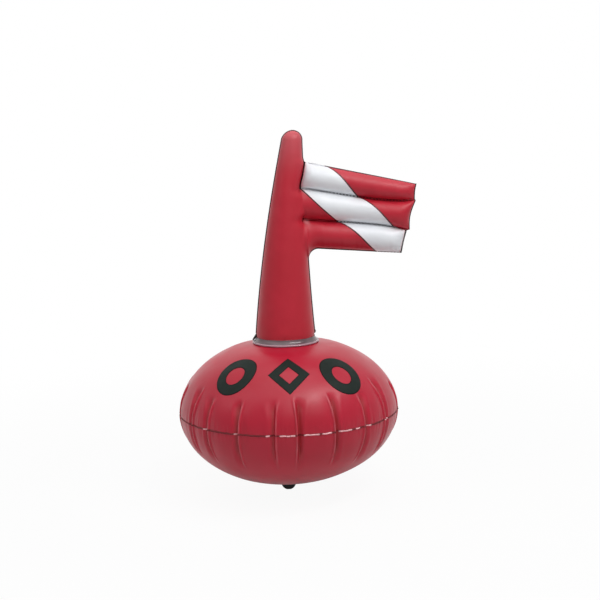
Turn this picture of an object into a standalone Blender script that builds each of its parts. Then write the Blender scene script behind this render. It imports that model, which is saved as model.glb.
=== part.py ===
"""Inflatable dive flag float: a round two-panel float with a welded mast, a three-tube flag and air valves.

Metres, +Z up. The origin is the middle of the line lug's flat lower end. The flag points to +X and the
object is seen from -Y. Every driving size is in the first section, and all other places follow from it.
"""

import math

import bmesh
import bpy
from mathutils import Matrix, Vector

# Films and clearances
film = 0.0005
stripe_film = 0.0003
gap = 0.0003
weld_width = 0.002
cut_overrun = 0.004
merge_distance = 0.0005
sharp_angle_deg = 40.0

# Float: two round panels welded at the equator
float_radius = 0.1806
float_half_height = 0.120
float_side_swell = 0.0028
float_lean = 0.010
crease_depth = 0.0042
crease_half_width = 0.0068
crease_reach_deg = 34.0
panel_rows = 7
crease_turn_shares = (
    0.0270, 0.0800, 0.1270, 0.1790, 0.2240, 0.2750, 0.3240, 0.3690, 0.4190, 0.4680,
    0.5220, 0.5840, 0.6220, 0.6800, 0.7290, 0.7630, 0.8145, 0.8655, 0.9140, 0.9760,
)

# Line lug and its reinforcing patch under the float
lug_drop = 0.019
lug_width = 0.0246
lug_flat_width = 0.006
lug_thickness = 0.010
lug_edge_bevel = 0.0015
lug_base_radius = 0.021
lug_base_thickness = 0.0025
lug_eye_radius = 0.0033
lug_eye_depth = 0.0075
lug_round_steps = 6
patch_radius = 0.034
patch_film = 0.0008
patch_steps = 32
dome_steps = 4

# Mast: an inflated tapering tube of two sheets
mast_seat_radius = 0.047
mast_seat_height = 0.0058
mast_foot_rise = 0.0045
mast_foot_radius = 0.0473
mast_swell = 0.0013
mast_tip_radius = 0.0157
mast_length = 0.340
mast_bend = 0.0217
mast_bend_power = 1.7
mast_seat_lift = 0.0026
mast_columns = 12
mast_tip_flat_share = 0.3
mast_tip_steps = 4
mast_plain_rows = 4
mast_upper_row_shares = (0.35, 0.7)

# Mast base disc and collar
disc_skirt_height = 0.003
collar_film = 0.0008
collar_foot_radius = 0.057
collar_height = 0.0095
collar_hem = 0.0025
collar_slant_share = 0.7
round_steps = 48

# Flag: three welded tubes, heights of the weld lines above the origin
flag_top_root = 0.5430
flag_top_tip = 0.5043
flag_upper_seam_root = 0.5020
flag_upper_seam_tip = 0.4795
flag_upper_seam_bow = -0.0054
flag_lower_seam_root = 0.4520
flag_lower_seam_tip = 0.4295
flag_lower_seam_bow = 0.0042
flag_bottom_root = 0.4070
flag_bottom_tip = 0.3948
flag_reach_top = 0.2205
flag_reach_upper_seam = 0.2190
flag_reach_lower_seam = 0.2085
flag_reach_bottom = 0.1948
flag_end_step_upper = 0.0015
flag_end_step_lower = 0.0050
flag_end_scallop_outer = 0.0008
flag_end_scallop_middle = 0.0036
flag_fillet_radius = 0.0170
flag_corner_bulge = 0.0033
flag_corner_reach = 0.0120
upper_root_pinch = 0.0070
upper_root_reach_up = 0.0340
lower_root_pinch = 0.0050
root_pinch_reach = 0.0130
flag_seam_width = 0.0030
flag_end_closing = 0.0220
flag_root_closing = 0.0160
tube_edge_deg = 78.0
tube_cells = 6
root_fade_start_share = 0.35
root_sink_share = 0.18
root_sink_length = 0.030
root_blend = 4.0
flag_column_shares = (0.0, 0.03, 0.07, 0.14, 0.26, 0.42, 0.58, 0.74, 0.87, 0.93, 0.97)

# White stripe: where its borders cross the weld lines, measured from the frame's Z axis
stripe_left_at_upper_seam = 0.0345
stripe_left_at_lower_seam = 0.0938
stripe_left_at_bottom = 0.1560
stripe_right_at_top = 0.0748
stripe_right_at_upper_seam = 0.1250
stripe_right_at_lower_seam = 0.1825
stripe_left_bow_shares = (0.16, 0.03, 0.0)
stripe_right_bow_share = 0.18
stripe_bow_place_share = 0.75
stripe_edge_margin = 0.0045
stripe_lift = 0.0005

# Air valves
valve_flange_radius = 0.0140
valve_flange_thickness = 0.0010
valve_skirt_radius = 0.0075
valve_skirt_depth = 0.0040
valve_stem_radius = 0.0057
valve_stem_wall = 0.0012
valve_stem_depth = 0.0160
valve_stem_lip = 0.0022
valve_stem_lip_radius = 0.0068
valve_stem_stop_radius = 0.0068
valve_stem_stop_height = 0.0010
valve_flap_thickness = 0.0006
valve_cap_radius = 0.0070
valve_cap_thickness = 0.0016
valve_plug_length = 0.0080
valve_strap_width = 0.0045
valve_strap_thickness = 0.0009
valve_steps = 24
float_valve_polar_deg = 35.0
mast_valve_height = 0.318

# Colours and finish
pvc_red = (0.52, 0.022, 0.045)
pvc_white = (0.80, 0.81, 0.84)
collar_grey = (0.42, 0.33, 0.36)
valve_clear = (0.62, 0.60, 0.60)
lug_black = (0.008, 0.008, 0.008)

# Places that follow from the sizes
float_centre_z = lug_drop + float_half_height
float_top_z = lug_drop + 2.0 * float_half_height
mast_seat_x = float_lean * (float_top_z - lug_drop)
mast_seat_sag = mast_seat_radius ** 2 * float_half_height / (2.0 * float_radius ** 2)
mast_seat_z = float_top_z - mast_seat_sag + mast_seat_lift
mast_foot_z = mast_seat_z + mast_seat_height + mast_foot_rise
mast_top_z = mast_seat_z + mast_length
mast_tip_z = mast_top_z - mast_tip_radius - weld_width


def clear_scene():
    """Remove whatever the file holds."""
    for item in list(bpy.data.objects):
        bpy.data.objects.remove(item, do_unlink=True)


def make_material(name, colour, roughness, alpha=1.0):
    """A plain Principled material."""
    material = bpy.data.materials.new(name)
    material.use_nodes = True
    shader = material.node_tree.nodes["Principled BSDF"]
    shader.inputs["Base Color"].default_value = (*colour, 1.0)
    shader.inputs["Roughness"].default_value = roughness
    shader.inputs["Metallic"].default_value = 0.0
    shader.inputs["Alpha"].default_value = alpha
    return material


def add_object(name, bm, material):
    """Turn a bmesh into a smooth-shaded scene object."""
    mesh = bpy.data.meshes.new(name)
    bm.to_mesh(mesh)
    bm.free()
    mesh.shade_smooth()
    mesh.set_sharp_from_angle(angle=math.radians(sharp_angle_deg))
    item = bpy.data.objects.new(name, mesh)
    bpy.context.scene.collection.objects.link(item)
    if material:
        mesh.materials.append(material)
    return item


def add_film(name, bm, material):
    """Turn an open skin into an object, in triangles, so that both faces of its film fold alike."""
    bmesh.ops.triangulate(bm, faces=bm.faces)
    return add_object(name, bm, material)


def thicken(item, thickness):
    """Give a film its thickness, outward."""
    modifier = item.modifiers.new("film", "SOLIDIFY")
    modifier.thickness = thickness
    modifier.offset = 1.0
    modifier.use_even_offset = True
    return item


def smooth_step(value):
    """0 below 0, 1 above 1, and smooth between."""
    value = min(max(value, 0.0), 1.0)
    return value * value * (3.0 - 2.0 * value)


def fill_rings(bm, rings):
    """Join rings of points into one closed skin. A ring of one point is a pole."""
    rows = [[bm.verts.new(point) for point in ring] for ring in rings]
    for lower, upper in zip(rows[:-1], rows[1:]):
        count = max(len(lower), len(upper))
        for step in range(count):
            after = (step + 1) % count
            if len(lower) == 1:
                bm.faces.new((lower[0], upper[after], upper[step]))
            elif len(upper) == 1:
                bm.faces.new((lower[step], lower[after], upper[0]))
            else:
                bm.faces.new((lower[step], lower[after], upper[after], upper[step]))
    return rows


def turned(profile, steps=round_steps):
    """A closed turned solid from an (r, z) outline. Outlines that start and end on the axis have poles."""
    bm = bmesh.new()
    rings = []
    for radius, height in profile:
        if radius == 0.0:
            rings.append([Vector((0.0, 0.0, height))])
            continue
        turns = [math.tau * step / steps for step in range(steps)]
        rings.append([Vector((radius * math.cos(t), radius * math.sin(t), height)) for t in turns])
    if profile[0][0] > 0.0:
        rows = fill_rings(bm, rings)
        for step in range(steps):
            after = (step + 1) % steps
            bm.faces.new((rows[-1][step], rows[-1][after], rows[0][after], rows[0][step]))
    else:
        fill_rings(bm, rings)
    bmesh.ops.recalc_face_normals(bm, faces=bm.faces)
    return bm


def cut(item, cutter_bm, name):
    """Cut a hole with a hidden cutter."""
    cutter = add_object(name, cutter_bm, None)
    cutter.display_type = "WIRE"
    cutter.hide_render = True
    modifier = item.modifiers.new(name, "BOOLEAN")
    modifier.operation = "DIFFERENCE"
    modifier.solver = "EXACT"
    modifier.object = cutter


# Float panels

def float_columns():
    """Angles round the float and how much crease each carries: three at a crease, one between two."""
    half = crease_half_width / float_radius
    columns = []
    shares = list(crease_turn_shares)
    following = shares[1:] + [shares[0] + 1.0]
    for share, after in zip(shares, following):
        here = math.tau * share
        middle = math.tau * (share + after) / 2.0
        columns.extend(((here - half, 0.0), (here, 1.0), (here + half, 0.0), (middle, 0.0)))
    return columns


def float_point(turn, polar, side, crease, lift):
    """A point of a float panel. side is 1 above the equator and -1 below; lift is along the normal."""
    across = math.sin(polar)
    along = math.cos(polar)
    normal = Vector((across / float_radius, along / float_half_height)).normalized()
    reach = smooth_step(1.0 - (math.pi / 2.0 - polar) / math.radians(crease_reach_deg))
    shift = lift - crease * crease_depth * reach
    radius = float_radius * across + shift * normal.x
    z = float_centre_z + side * (gap / 2.0 + float_half_height * along + shift * normal.y)
    x = radius * math.cos(turn) + float_side_swell * across * across + float_lean * (z - lug_drop)
    return Vector((x, radius * math.sin(turn), z))


def float_panel(name, side, material):
    """One dome of film with its weld rim, as its inner skin thickened outward."""
    columns = float_columns()
    rings = [[float_point(0.0, 0.0, side, 0.0, -film)]]
    for row in range(1, panel_rows + 1):
        polar = math.pi / 2.0 * row / panel_rows
        rings.append([float_point(turn, polar, side, crease, -film) for turn, crease in columns])
    rings.append([float_point(turn, math.pi / 2.0, side, crease, weld_width) for turn, crease in columns])
    bm = bmesh.new()
    fill_rings(bm, rings)
    if side > 0.0:
        bmesh.ops.reverse_faces(bm, faces=bm.faces)
    return thicken(add_film(name, bm, material), film)


def float_frame(polar_deg, turn):
    """A frame on the float's skin: Z along its normal, Y up the slope."""
    polar = math.radians(polar_deg)
    origin = float_point(turn, polar, 1.0, 0.0, 0.0)
    out = (float_point(turn, polar, 1.0, 0.0, film) - origin).normalized()
    uphill = out.cross(Vector((-math.sin(turn), math.cos(turn), 0.0))).normalized()
    sideways = uphill.cross(out)
    basis = Matrix((sideways, uphill, out)).transposed().to_4x4()
    return Matrix.Translation(origin) @ basis


def dome_height(radius):
    """Height of the float's upper skin above the origin at a radius from its axis."""
    return float_centre_z + gap / 2.0 + float_half_height * math.sqrt(1.0 - (radius / float_radius) ** 2)


# Mast and flag sheets

def mast_half_width(z):
    """Half the mast's width at a height, between its weld lines."""
    share = min(max((z - mast_foot_z) / (mast_tip_z - mast_foot_z), 0.0), 1.0)
    taper = mast_foot_radius + (mast_tip_radius - mast_foot_radius) * share
    return taper + mast_swell * math.sin(math.pi * share)


def mast_centre(z):
    """Sideways place of the mast's middle at a height."""
    share = max(0.0, (z - mast_foot_z) / (mast_tip_z - mast_foot_z))
    return mast_seat_x + (mast_bend - mast_seat_x) * share ** mast_bend_power


def root_shift(z):
    """How far the mast's right weld line is drawn in by the flag's seams, less its bulge at the flag's top."""
    total = 0.0
    for place, size, reach_up, reach_down in (
        (flag_upper_seam_root, upper_root_pinch, upper_root_reach_up, root_pinch_reach),
        (flag_lower_seam_root, lower_root_pinch, root_pinch_reach, root_pinch_reach),
        (flag_top_root, -flag_corner_bulge, flag_corner_reach, flag_corner_reach),
    ):
        reach = reach_up if z > place else reach_down
        total += size * smooth_step(1.0 - abs(z - place) / reach)
    return total


def bow_share(share):
    """How much of its bow a seam has at a share of its length: most of it at two thirds of the way out."""
    share = min(max(share, 0.0), 1.0)
    return share * (1.0 - share ** 4) * 5.0 ** 1.25 / 4.0


def line_height(x, root, tip, reach, bow):
    """Height of a weld line of the flag, from the mast to its far end."""
    share = (x - mast_foot_radius) / (reach - mast_foot_radius)
    return root + (tip - root) * share + bow * bow_share(share)


class Row:
    """One row of the sheets' points: the mast's part of it, and the flag's part where it has one."""

    def __init__(self, z, half_width, depth, rim=weld_width, tube=None, share=0.0):
        self.z = z
        self.half_width = half_width
        self.right_width = half_width
        self.depth = depth
        self.rim = rim
        self.tube = tube
        self.share = share

    def root_x(self):
        """Where the row leaves the mast's right weld line."""
        return mast_centre(self.z) + self.right_width + self.rim


flag_lines = (
    (flag_bottom_root, flag_bottom_tip, flag_reach_bottom, 0.0),
    (flag_lower_seam_root, flag_lower_seam_tip, flag_reach_lower_seam, flag_lower_seam_bow),
    (flag_upper_seam_root, flag_upper_seam_tip, flag_reach_upper_seam, flag_upper_seam_bow),
    (flag_top_root, flag_top_tip, flag_reach_top, 0.0),
)
tube_reaches = (
    (flag_reach_bottom, flag_reach_lower_seam - flag_end_step_lower, flag_end_scallop_outer),
    (flag_reach_lower_seam, flag_reach_upper_seam, flag_end_scallop_middle),
    (flag_reach_upper_seam - flag_end_step_upper, flag_reach_top, flag_end_scallop_outer),
)


def tube_lines(tube):
    """The lower and upper weld line of a tube, counted from the bottom, with their half seam widths."""
    lower_margin = 0.0 if tube == 0 else flag_seam_width / 2.0
    upper_margin = 0.0 if tube == 2 else flag_seam_width / 2.0
    return flag_lines[tube], lower_margin, flag_lines[tube + 1], upper_margin


def fillet_drop(x, root_x):
    """How far the flag's lower edge curves down beside the mast."""
    along = min(max((root_x + flag_fillet_radius - x) / flag_fillet_radius, 0.0), 1.0)
    return flag_fillet_radius * (1.0 - math.sqrt(1.0 - along * along))


def flag_row_height(row, x, root_x):
    """Height of a flag row at a place along it."""
    lower, lower_margin, upper, upper_margin = tube_lines(row.tube)
    bottom = line_height(x, *lower) + lower_margin
    if row.tube == 0:
        bottom -= fillet_drop(x, root_x)
    top = line_height(x, *upper) - upper_margin
    return bottom + (top - bottom) * row.share


def flag_row_end(row):
    """How far out a flag row reaches, to its end weld."""
    lower, upper, scallop = tube_reaches[row.tube]
    return lower + (upper - lower) * row.share - scallop * math.sin(math.pi * min(max(row.share, 0.0), 1.0))


def tube_depth(row, x, root_x):
    """Half the thickness of the tube that a row lies on."""
    lower, lower_margin, upper, upper_margin = tube_lines(row.tube)
    bottom = line_height(x, *lower) + lower_margin
    if row.tube == 0:
        bottom -= fillet_drop(x, root_x)
    top = line_height(x, *upper) - upper_margin
    edge = math.radians(tube_edge_deg)
    turn = math.asin((2.0 * min(max(row.share, 0.0), 1.0) - 1.0) * math.sin(edge))
    return (top - bottom) / 2.0 * (math.cos(turn) - math.cos(edge)) / math.sin(edge)


def closing(distance, length):
    """How much of its full depth a tube has at a distance from its end weld."""
    share = min(max(distance / length, 0.0), 1.0)
    return math.sqrt(share * (2.0 - share))


def sheet_rows():
    """All rows of the sheets, from the mast's seat up to its tip."""
    rows = []
    for z in (mast_seat_z, mast_seat_z + mast_seat_height):
        rows.append(Row(z, mast_seat_radius, mast_seat_radius, gap))
    flag_foot = flag_bottom_root - flag_fillet_radius
    for step in range(mast_plain_rows):
        rows.append(mast_row(mast_foot_z + (flag_foot - weld_width - mast_foot_z) * step / mast_plain_rows))
    for tube in range(3):
        if tube == 0:
            rows.append(flag_row(0, -weld_width / flag_tube_height(0)))
        for cell in range(tube_cells + 1):
            rows.append(flag_row(tube, (1.0 - math.cos(math.pi * cell / tube_cells)) / 2.0))
        if tube == 2:
            rows.append(flag_row(2, 1.0 + weld_width / flag_tube_height(2)))
    top = rows[-1].z
    for share in mast_upper_row_shares:
        rows.append(mast_row(top + (mast_tip_z - top) * share))
    for step in range(mast_tip_steps + 1):
        rise = math.pi / 2.0 * step / mast_tip_steps
        width_share = mast_tip_flat_share + (1.0 - mast_tip_flat_share) * math.cos(rise)
        z = mast_tip_z + mast_tip_radius * math.sin(rise)
        rows.append(Row(z, mast_tip_radius * width_share, mast_tip_radius * math.cos(rise)))
    flat = mast_tip_radius * mast_tip_flat_share
    rows.append(Row(mast_top_z, flat, 0.0, weld_width / 2.0))
    return rows


def flag_tube_height(tube):
    """Height of a tube where it leaves the mast."""
    lower, lower_margin, upper, upper_margin = tube_lines(tube)
    return upper[0] - upper_margin - lower[0] - lower_margin


def mast_row(z, tube=None, share=0.0):
    """A row at a height of the mast."""
    row = Row(z, mast_half_width(z), mast_half_width(z), weld_width, tube, share)
    row.right_width -= root_shift(z)
    return row


def flag_row(tube, share):
    """A row that runs over the mast and out along a tube of the flag."""
    row = mast_row(flag_lines[tube][0], tube, share)
    for _ in range(4):
        root_x = row.root_x()
        row = mast_row(flag_row_height(row, root_x, root_x), tube, share)
    return row


def mast_point(row, turn):
    """A point of a sheet on the mast. turn runs from 0 at the left weld line to pi at the right one."""
    offset = -math.cos(turn) * (row.half_width if turn < math.pi / 2.0 else row.right_width)
    depth = row.depth * math.sin(turn)
    if row.tube in (0, 1):
        root_x = mast_centre(row.z) + row.right_width
        fade = smooth_step((offset / row.right_width - root_fade_start_share) / (1.0 - root_fade_start_share))
        across = tube_depth(row, root_x, root_x) * (1.0 - root_sink_share) * fade
        depth = (depth ** root_blend + across ** root_blend) ** (1.0 / root_blend)
    return Vector((mast_centre(row.z) + offset, -gap / 2.0 - depth, row.z))


def row_points(row):
    """All points of one row, from the left weld rim to the right rim or the flag's far end."""
    centre = mast_centre(row.z)
    points = [Vector((centre - row.half_width - row.rim, -gap / 2.0, row.z))]
    for column in range(mast_columns + 1):
        points.append(mast_point(row, math.pi * column / mast_columns))
    if row.tube is None:
        points.append(Vector((row.root_x(), -gap / 2.0, row.z)))
        return points
    points.extend(flag_points(row, row.root_x()))
    return points


def flag_points(row, root_x):
    """The flag's part of a row."""
    end = flag_row_end(row)
    points = []
    for share in flag_column_shares + (1.0,):
        x = root_x + (end - root_x) * share
        depth = tube_depth(row, x, root_x) * closing(end - x, flag_end_closing)
        if row.tube == 2:
            depth *= closing(x - root_x, flag_root_closing)
        else:
            depth *= 1.0 - root_sink_share * (1.0 - smooth_step((x - root_x) / root_sink_length))
        points.append(Vector((x, -gap / 2.0 - depth, flag_row_height(row, x, root_x))))
    points.append(Vector((end + weld_width, -gap / 2.0, flag_row_height(row, end, root_x))))
    return points


def sheet(name, side, material):
    """One film of the mast and flag. side is 1 for the front and -1 for the rear."""
    bm = bmesh.new()
    grid = []
    for row in sheet_rows():
        grid.append([bm.verts.new((p.x, side * p.y, p.z)) for p in row_points(row)])
    for lower, upper in zip(grid[:-1], grid[1:]):
        for column in range(min(len(lower), len(upper)) - 1):
            bm.faces.new((lower[column], lower[column + 1], upper[column + 1], upper[column]))
    if side < 0.0:
        bmesh.ops.reverse_faces(bm, faces=bm.faces)
    return thicken(add_film(name, bm, material), film)


def border_share(row, bow):
    """How far along its crossing of a tube a border of the stripe is, less its bow."""
    share = min(max(row.share, 0.0), 1.0)
    place = stripe_bow_place_share
    return share - bow * (share / place) ** 1.5 * ((1.0 - share) / (1.0 - place)) ** 0.5


def stripe_limits(row, root_x):
    """Where the stripe's left and right borders cross a row. On the lowest tube it runs to the far end."""
    end = flag_row_end(row)
    lefts = (stripe_left_at_bottom, stripe_left_at_lower_seam, stripe_left_at_upper_seam, 0.0)
    rights = (end, stripe_right_at_lower_seam, stripe_right_at_upper_seam, stripe_right_at_top)
    crossed = border_share(row, stripe_left_bow_shares[row.tube])
    left = lefts[row.tube] + (lefts[row.tube + 1] - lefts[row.tube]) * crossed
    crossed = border_share(row, stripe_right_bow_share) if row.tube else 0.0
    right = rights[row.tube] + (rights[row.tube + 1] - rights[row.tube]) * crossed
    return max(left, root_x + stripe_edge_margin), min(right, end - stripe_edge_margin)


def along_row(points, x):
    """The point of a row's straight pieces at a place along it."""
    for before, after in zip(points[:-1], points[1:]):
        if before.x <= x <= after.x:
            return before.lerp(after, (x - before.x) / (after.x - before.x))
    return points[-1].copy()


def stripe(name, side, material):
    """The white diagonal film on one side of the flag."""
    bm = bmesh.new()
    grid = []
    for row in sheet_rows():
        if row.tube is None:
            continue
        root_x = row.root_x()
        points = flag_points(row, root_x)
        left, right = stripe_limits(row, root_x)
        held = [along_row(points, min(max(point.x, left), right)) for point in points]
        grid.append([bm.verts.new((point.x, side * point.y, point.z)) for point in held])
    for lower, upper in zip(grid[:-1], grid[1:]):
        for column in range(len(lower) - 1):
            bm.faces.new((lower[column], lower[column + 1], upper[column + 1], upper[column]))
    bmesh.ops.remove_doubles(bm, verts=bm.verts, dist=merge_distance)
    if side < 0.0:
        bmesh.ops.reverse_faces(bm, faces=bm.faces)
    bm.normal_update()
    lifts = [(vert, vert.normal * vert.calc_shell_factor() * (film + stripe_lift)) for vert in bm.verts]
    for vert, lift in lifts:
        vert.co += lift
    return thicken(add_film(name, bm, material), stripe_film)


def mast_valve_frame():
    """A frame on the mast's rear skin: Z along its normal, Y up the mast."""
    z = mast_valve_height
    step = cut_overrun
    low = Vector((mast_centre(z), gap / 2.0 + mast_half_width(z), z))
    high = Vector((mast_centre(z + step), gap / 2.0 + mast_half_width(z + step), z + step))
    up = (high - low).normalized()
    sideways = Vector((-1.0, 0.0, 0.0))
    out = sideways.cross(up).normalized()
    sideways = up.cross(out)
    basis = Matrix((sideways, up, out)).transposed().to_4x4()
    return Matrix.Translation(low + out * film) @ basis


# Mast seat

def mast_base_disc(material):
    """The disc that closes the mast's air space over the float, with a skirt inside the sheets."""
    inner = mast_seat_radius - gap
    radii = [inner * step / dome_steps for step in range(dome_steps + 1)]
    low = [(radius, dome_height(radius) + gap) for radius in radii]
    high = [(radius, height + film) for radius, height in low]
    high[-1] = (inner - film, high[-1][1])
    skirt_top = mast_seat_z + disc_skirt_height
    outline = low + [(inner, skirt_top), (inner - film, skirt_top)] + high[::-1]
    disc = add_object("mast_base_disc", turned(outline, 2 * mast_columns), material)
    disc.location.x = mast_seat_x


def mast_collar(material):
    """The clear flared ring that welds the mast to the float."""
    neck = mast_seat_radius + film + gap
    foot_z = dome_height(collar_foot_radius) + gap
    shoulder = (neck + collar_foot_radius) / 2.0
    shoulder_z = dome_height(shoulder) + 2.0 * gap + collar_hem / 2.0
    top_z = foot_z + collar_height
    inner = [(neck, top_z), (neck, top_z - collar_hem), (shoulder, shoulder_z), (collar_foot_radius, foot_z)]
    slant = collar_film * collar_slant_share
    outer = [(radius + slant, height + slant) for radius, height in inner]
    outer[0] = (neck + collar_film, top_z)
    outer[-1] = (collar_foot_radius, foot_z + collar_film)
    collar = add_object("mast_collar", turned(inner + outer[::-1]), material)
    collar.location.x = mast_seat_x


# Line lug

def under_float(reach, drop):
    """Points from the axis out to a radius, a drop below the float's lower skin."""
    radii = [reach * step / dome_steps for step in range(dome_steps + 1)]
    return [(radius, 2.0 * float_centre_z - dome_height(radius) - drop) for radius in radii]


def bottom_patch(material):
    """The reinforcing disc between the float's lower panel and the lug."""
    under = under_float(patch_radius, gap)
    lower = under_float(patch_radius, gap + patch_film)
    add_object("bottom_patch", turned(under + lower[::-1], patch_steps), material)


def line_lug(material):
    """The moulded eye under the float: a round base and a tongue that narrows to a flat end."""
    top = under_float(lug_base_radius, 2.0 * gap + patch_film)
    low = top[0][1] - lug_base_thickness
    outline = top + [(lug_base_radius, low + film), (0.0, low)]
    base = add_object("line_lug", turned(outline, patch_steps), material)
    bm = bmesh.new()
    side = lug_outline(low + lug_base_thickness / 2.0)
    face = bm.faces.new([bm.verts.new((x, -lug_thickness / 2.0, z)) for x, z in side])
    solid = bmesh.ops.extrude_face_region(bm, geom=[face])
    for vert in (item for item in solid["geom"] if isinstance(item, bmesh.types.BMVert)):
        vert.co.y += lug_thickness
    bmesh.ops.recalc_face_normals(bm, faces=bm.faces)
    tongue = add_object("lug_tongue_guide", bm, None)
    rounding = tongue.modifiers.new("rounding", "BEVEL")
    rounding.width = lug_edge_bevel
    rounding.segments = 2
    rounding.angle_limit = math.radians(sharp_angle_deg)
    tongue.display_type = "WIRE"
    tongue.hide_render = True
    join = base.modifiers.new("tongue", "BOOLEAN")
    join.operation = "UNION"
    join.solver = "EXACT"
    join.object = tongue
    eye = turned([
        (0.0, -lug_thickness), (lug_eye_radius, -lug_thickness), (lug_eye_radius, lug_thickness),
        (0.0, lug_thickness),
    ], valve_steps)
    turn = Matrix.Translation((0.0, 0.0, lug_drop - lug_eye_depth)) @ Matrix.Rotation(math.pi / 2.0, 4, "X")
    eye.transform(turn)
    cut(base, eye, "lug_eye_cutter")


def lug_outline(root_z):
    """The tongue's outline in X and Z, a half round with a small flat at its lower end."""
    radius = lug_width / 2.0
    last_turn = math.acos(lug_flat_width / lug_width)
    round_z = radius * math.sin(last_turn)
    right = [(radius, root_z)]
    for step in range(lug_round_steps + 1):
        turn = last_turn * step / lug_round_steps
        right.append((radius * math.cos(turn), round_z - radius * math.sin(turn)))
    left = [(-x, z) for x, z in reversed(right)]
    return right + left


# Valves

def draped(bm, bend_radius):
    """Bend a valve's flange sideways so that it follows a round skin."""
    for vert in bm.verts:
        beyond = max(0.0, abs(vert.co.x) - valve_skirt_radius / 2.0)
        vert.co.z -= beyond * abs(vert.co.x) / (2.0 * bend_radius)


def valve_set(prefix, frame, bend_radius, materials):
    """Flange, stem, check flap, stopper and strap, each on its own axis."""
    clear, cap_material = materials
    bore = valve_stem_radius + gap
    top = gap + valve_flange_thickness
    flange = turned([
        (bore, top), (bore, -valve_skirt_depth), (valve_skirt_radius, -valve_skirt_depth),
        (valve_skirt_radius, gap), (valve_flange_radius, gap), (valve_flange_radius, top),
    ], valve_steps)
    draped(flange, bend_radius)
    place(add_object(prefix + "_flange", flange, clear), frame)

    inner = valve_stem_radius - valve_stem_wall
    lip_low = top + gap
    lip_top = lip_low + valve_stem_lip
    stem = turned([
        (inner, lip_top), (inner, -valve_stem_depth),
        (valve_stem_stop_radius, -valve_stem_depth),
        (valve_stem_stop_radius, -valve_stem_depth + valve_stem_stop_height),
        (valve_stem_radius, -valve_stem_depth + valve_stem_stop_height),
        (valve_stem_radius, lip_low), (valve_stem_lip_radius, lip_low), (valve_stem_lip_radius, lip_top),
    ], valve_steps)
    place(add_object(prefix + "_stem", stem, clear), frame)

    flap_top = -valve_stem_depth - gap
    flap_radius = valve_stem_stop_radius - gap
    flap = turned([
        (0.0, 0.0), (flap_radius, 0.0), (flap_radius, -valve_flap_thickness), (0.0, -valve_flap_thickness),
    ], valve_steps)
    hinge = frame @ Matrix.Translation((0.0, -flap_radius, flap_top))
    flap.transform(Matrix.Translation((0.0, flap_radius, 0.0)))
    place(add_object(prefix + "_flap", flap, clear), hinge)

    cap_low = lip_top + gap
    plug = inner - gap
    stopper = turned([
        (0.0, cap_low + valve_cap_thickness), (valve_cap_radius, cap_low + valve_cap_thickness),
        (valve_cap_radius, cap_low), (plug, cap_low), (plug, cap_low - valve_plug_length),
        (0.0, cap_low - valve_plug_length),
    ], valve_steps)
    place(add_object(prefix + "_stopper", stopper, cap_material), frame)

    strap_z = cap_low + valve_cap_thickness
    foot_out = -valve_flange_radius + gap
    foot_in = -valve_stem_lip_radius - 2.0 * gap
    near = -valve_cap_radius - gap
    rise = top + gap
    thick = valve_strap_thickness
    outline = (
        (foot_out, rise), (near - 2.0 * thick, rise), (near - thick, strap_z - 2.0 * thick),
        (near, strap_z - thick), (near, strap_z), (near - 2.0 * thick, strap_z - thick),
        (near - 3.0 * thick, rise + thick), (foot_out, rise + thick),
    )
    bm = bmesh.new()
    face = bm.faces.new([bm.verts.new((-valve_strap_width / 2.0, y, z)) for y, z in outline])
    solid = bmesh.ops.extrude_face_region(bm, geom=[face])
    for vert in (item for item in solid["geom"] if isinstance(item, bmesh.types.BMVert)):
        vert.co.x += valve_strap_width
    bmesh.ops.recalc_face_normals(bm, faces=bm.faces)
    place(add_object(prefix + "_strap", bm, cap_material), frame)


def place(item, frame):
    """Put an object in a frame."""
    item.matrix_world = frame


def valve_hole(item, frame, name):
    """The hole in a film that a valve's skirt passes through."""
    radius = valve_skirt_radius + gap
    hole = turned([
        (0.0, -cut_overrun), (radius, -cut_overrun), (radius, cut_overrun), (0.0, cut_overrun),
    ], valve_steps)
    hole.transform(frame)
    cut(item, hole, name)


def main():
    clear_scene()
    red = {}
    for node in ("float_upper_panel", "float_lower_panel", "mast_front_sheet", "mast_rear_sheet",
                 "mast_base_disc", "bottom_patch"):
        red[node] = make_material(node, pvc_red, 0.28)
    upper = float_panel("float_upper_panel", 1.0, red["float_upper_panel"])
    float_panel("float_lower_panel", -1.0, red["float_lower_panel"])
    sheet("mast_front_sheet", 1.0, red["mast_front_sheet"])
    rear = sheet("mast_rear_sheet", -1.0, red["mast_rear_sheet"])
    stripe("flag_stripe_front", 1.0, make_material("flag_stripe_front", pvc_white, 0.3))
    stripe("flag_stripe_rear", -1.0, make_material("flag_stripe_rear", pvc_white, 0.3))
    mast_base_disc(red["mast_base_disc"])
    mast_collar(make_material("mast_collar", collar_grey, 0.15, 0.7))
    bottom_patch(red["bottom_patch"])
    line_lug(make_material("line_lug", lug_black, 0.45))
    float_frame_matrix = float_frame(float_valve_polar_deg, math.pi / 2.0)
    mast_frame_matrix = mast_valve_frame()
    clear = make_material("valve_clear", valve_clear, 0.2, 0.8)
    caps = make_material("valve_cap", pvc_red, 0.35)
    valve_set("float_valve", float_frame_matrix, float_radius, (clear, caps))
    valve_set("mast_valve", mast_frame_matrix, mast_half_width(mast_valve_height), (clear, caps))
    valve_hole(upper, float_frame_matrix, "float_valve_cutter")
    valve_hole(rear, mast_frame_matrix, "mast_valve_cutter")


main()
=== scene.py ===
"""Looks of the inflatable dive flag float: welded films, creases, puckers, collar, marks and valves.

Metres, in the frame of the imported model: the origin is the lug's lower end, the flag points to +X and the
object is seen from -Y.
"""

import math
from contextlib import contextmanager

import bmesh
import bpy
import numpy as np
from mathutils import Matrix, Vector, noise


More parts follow.
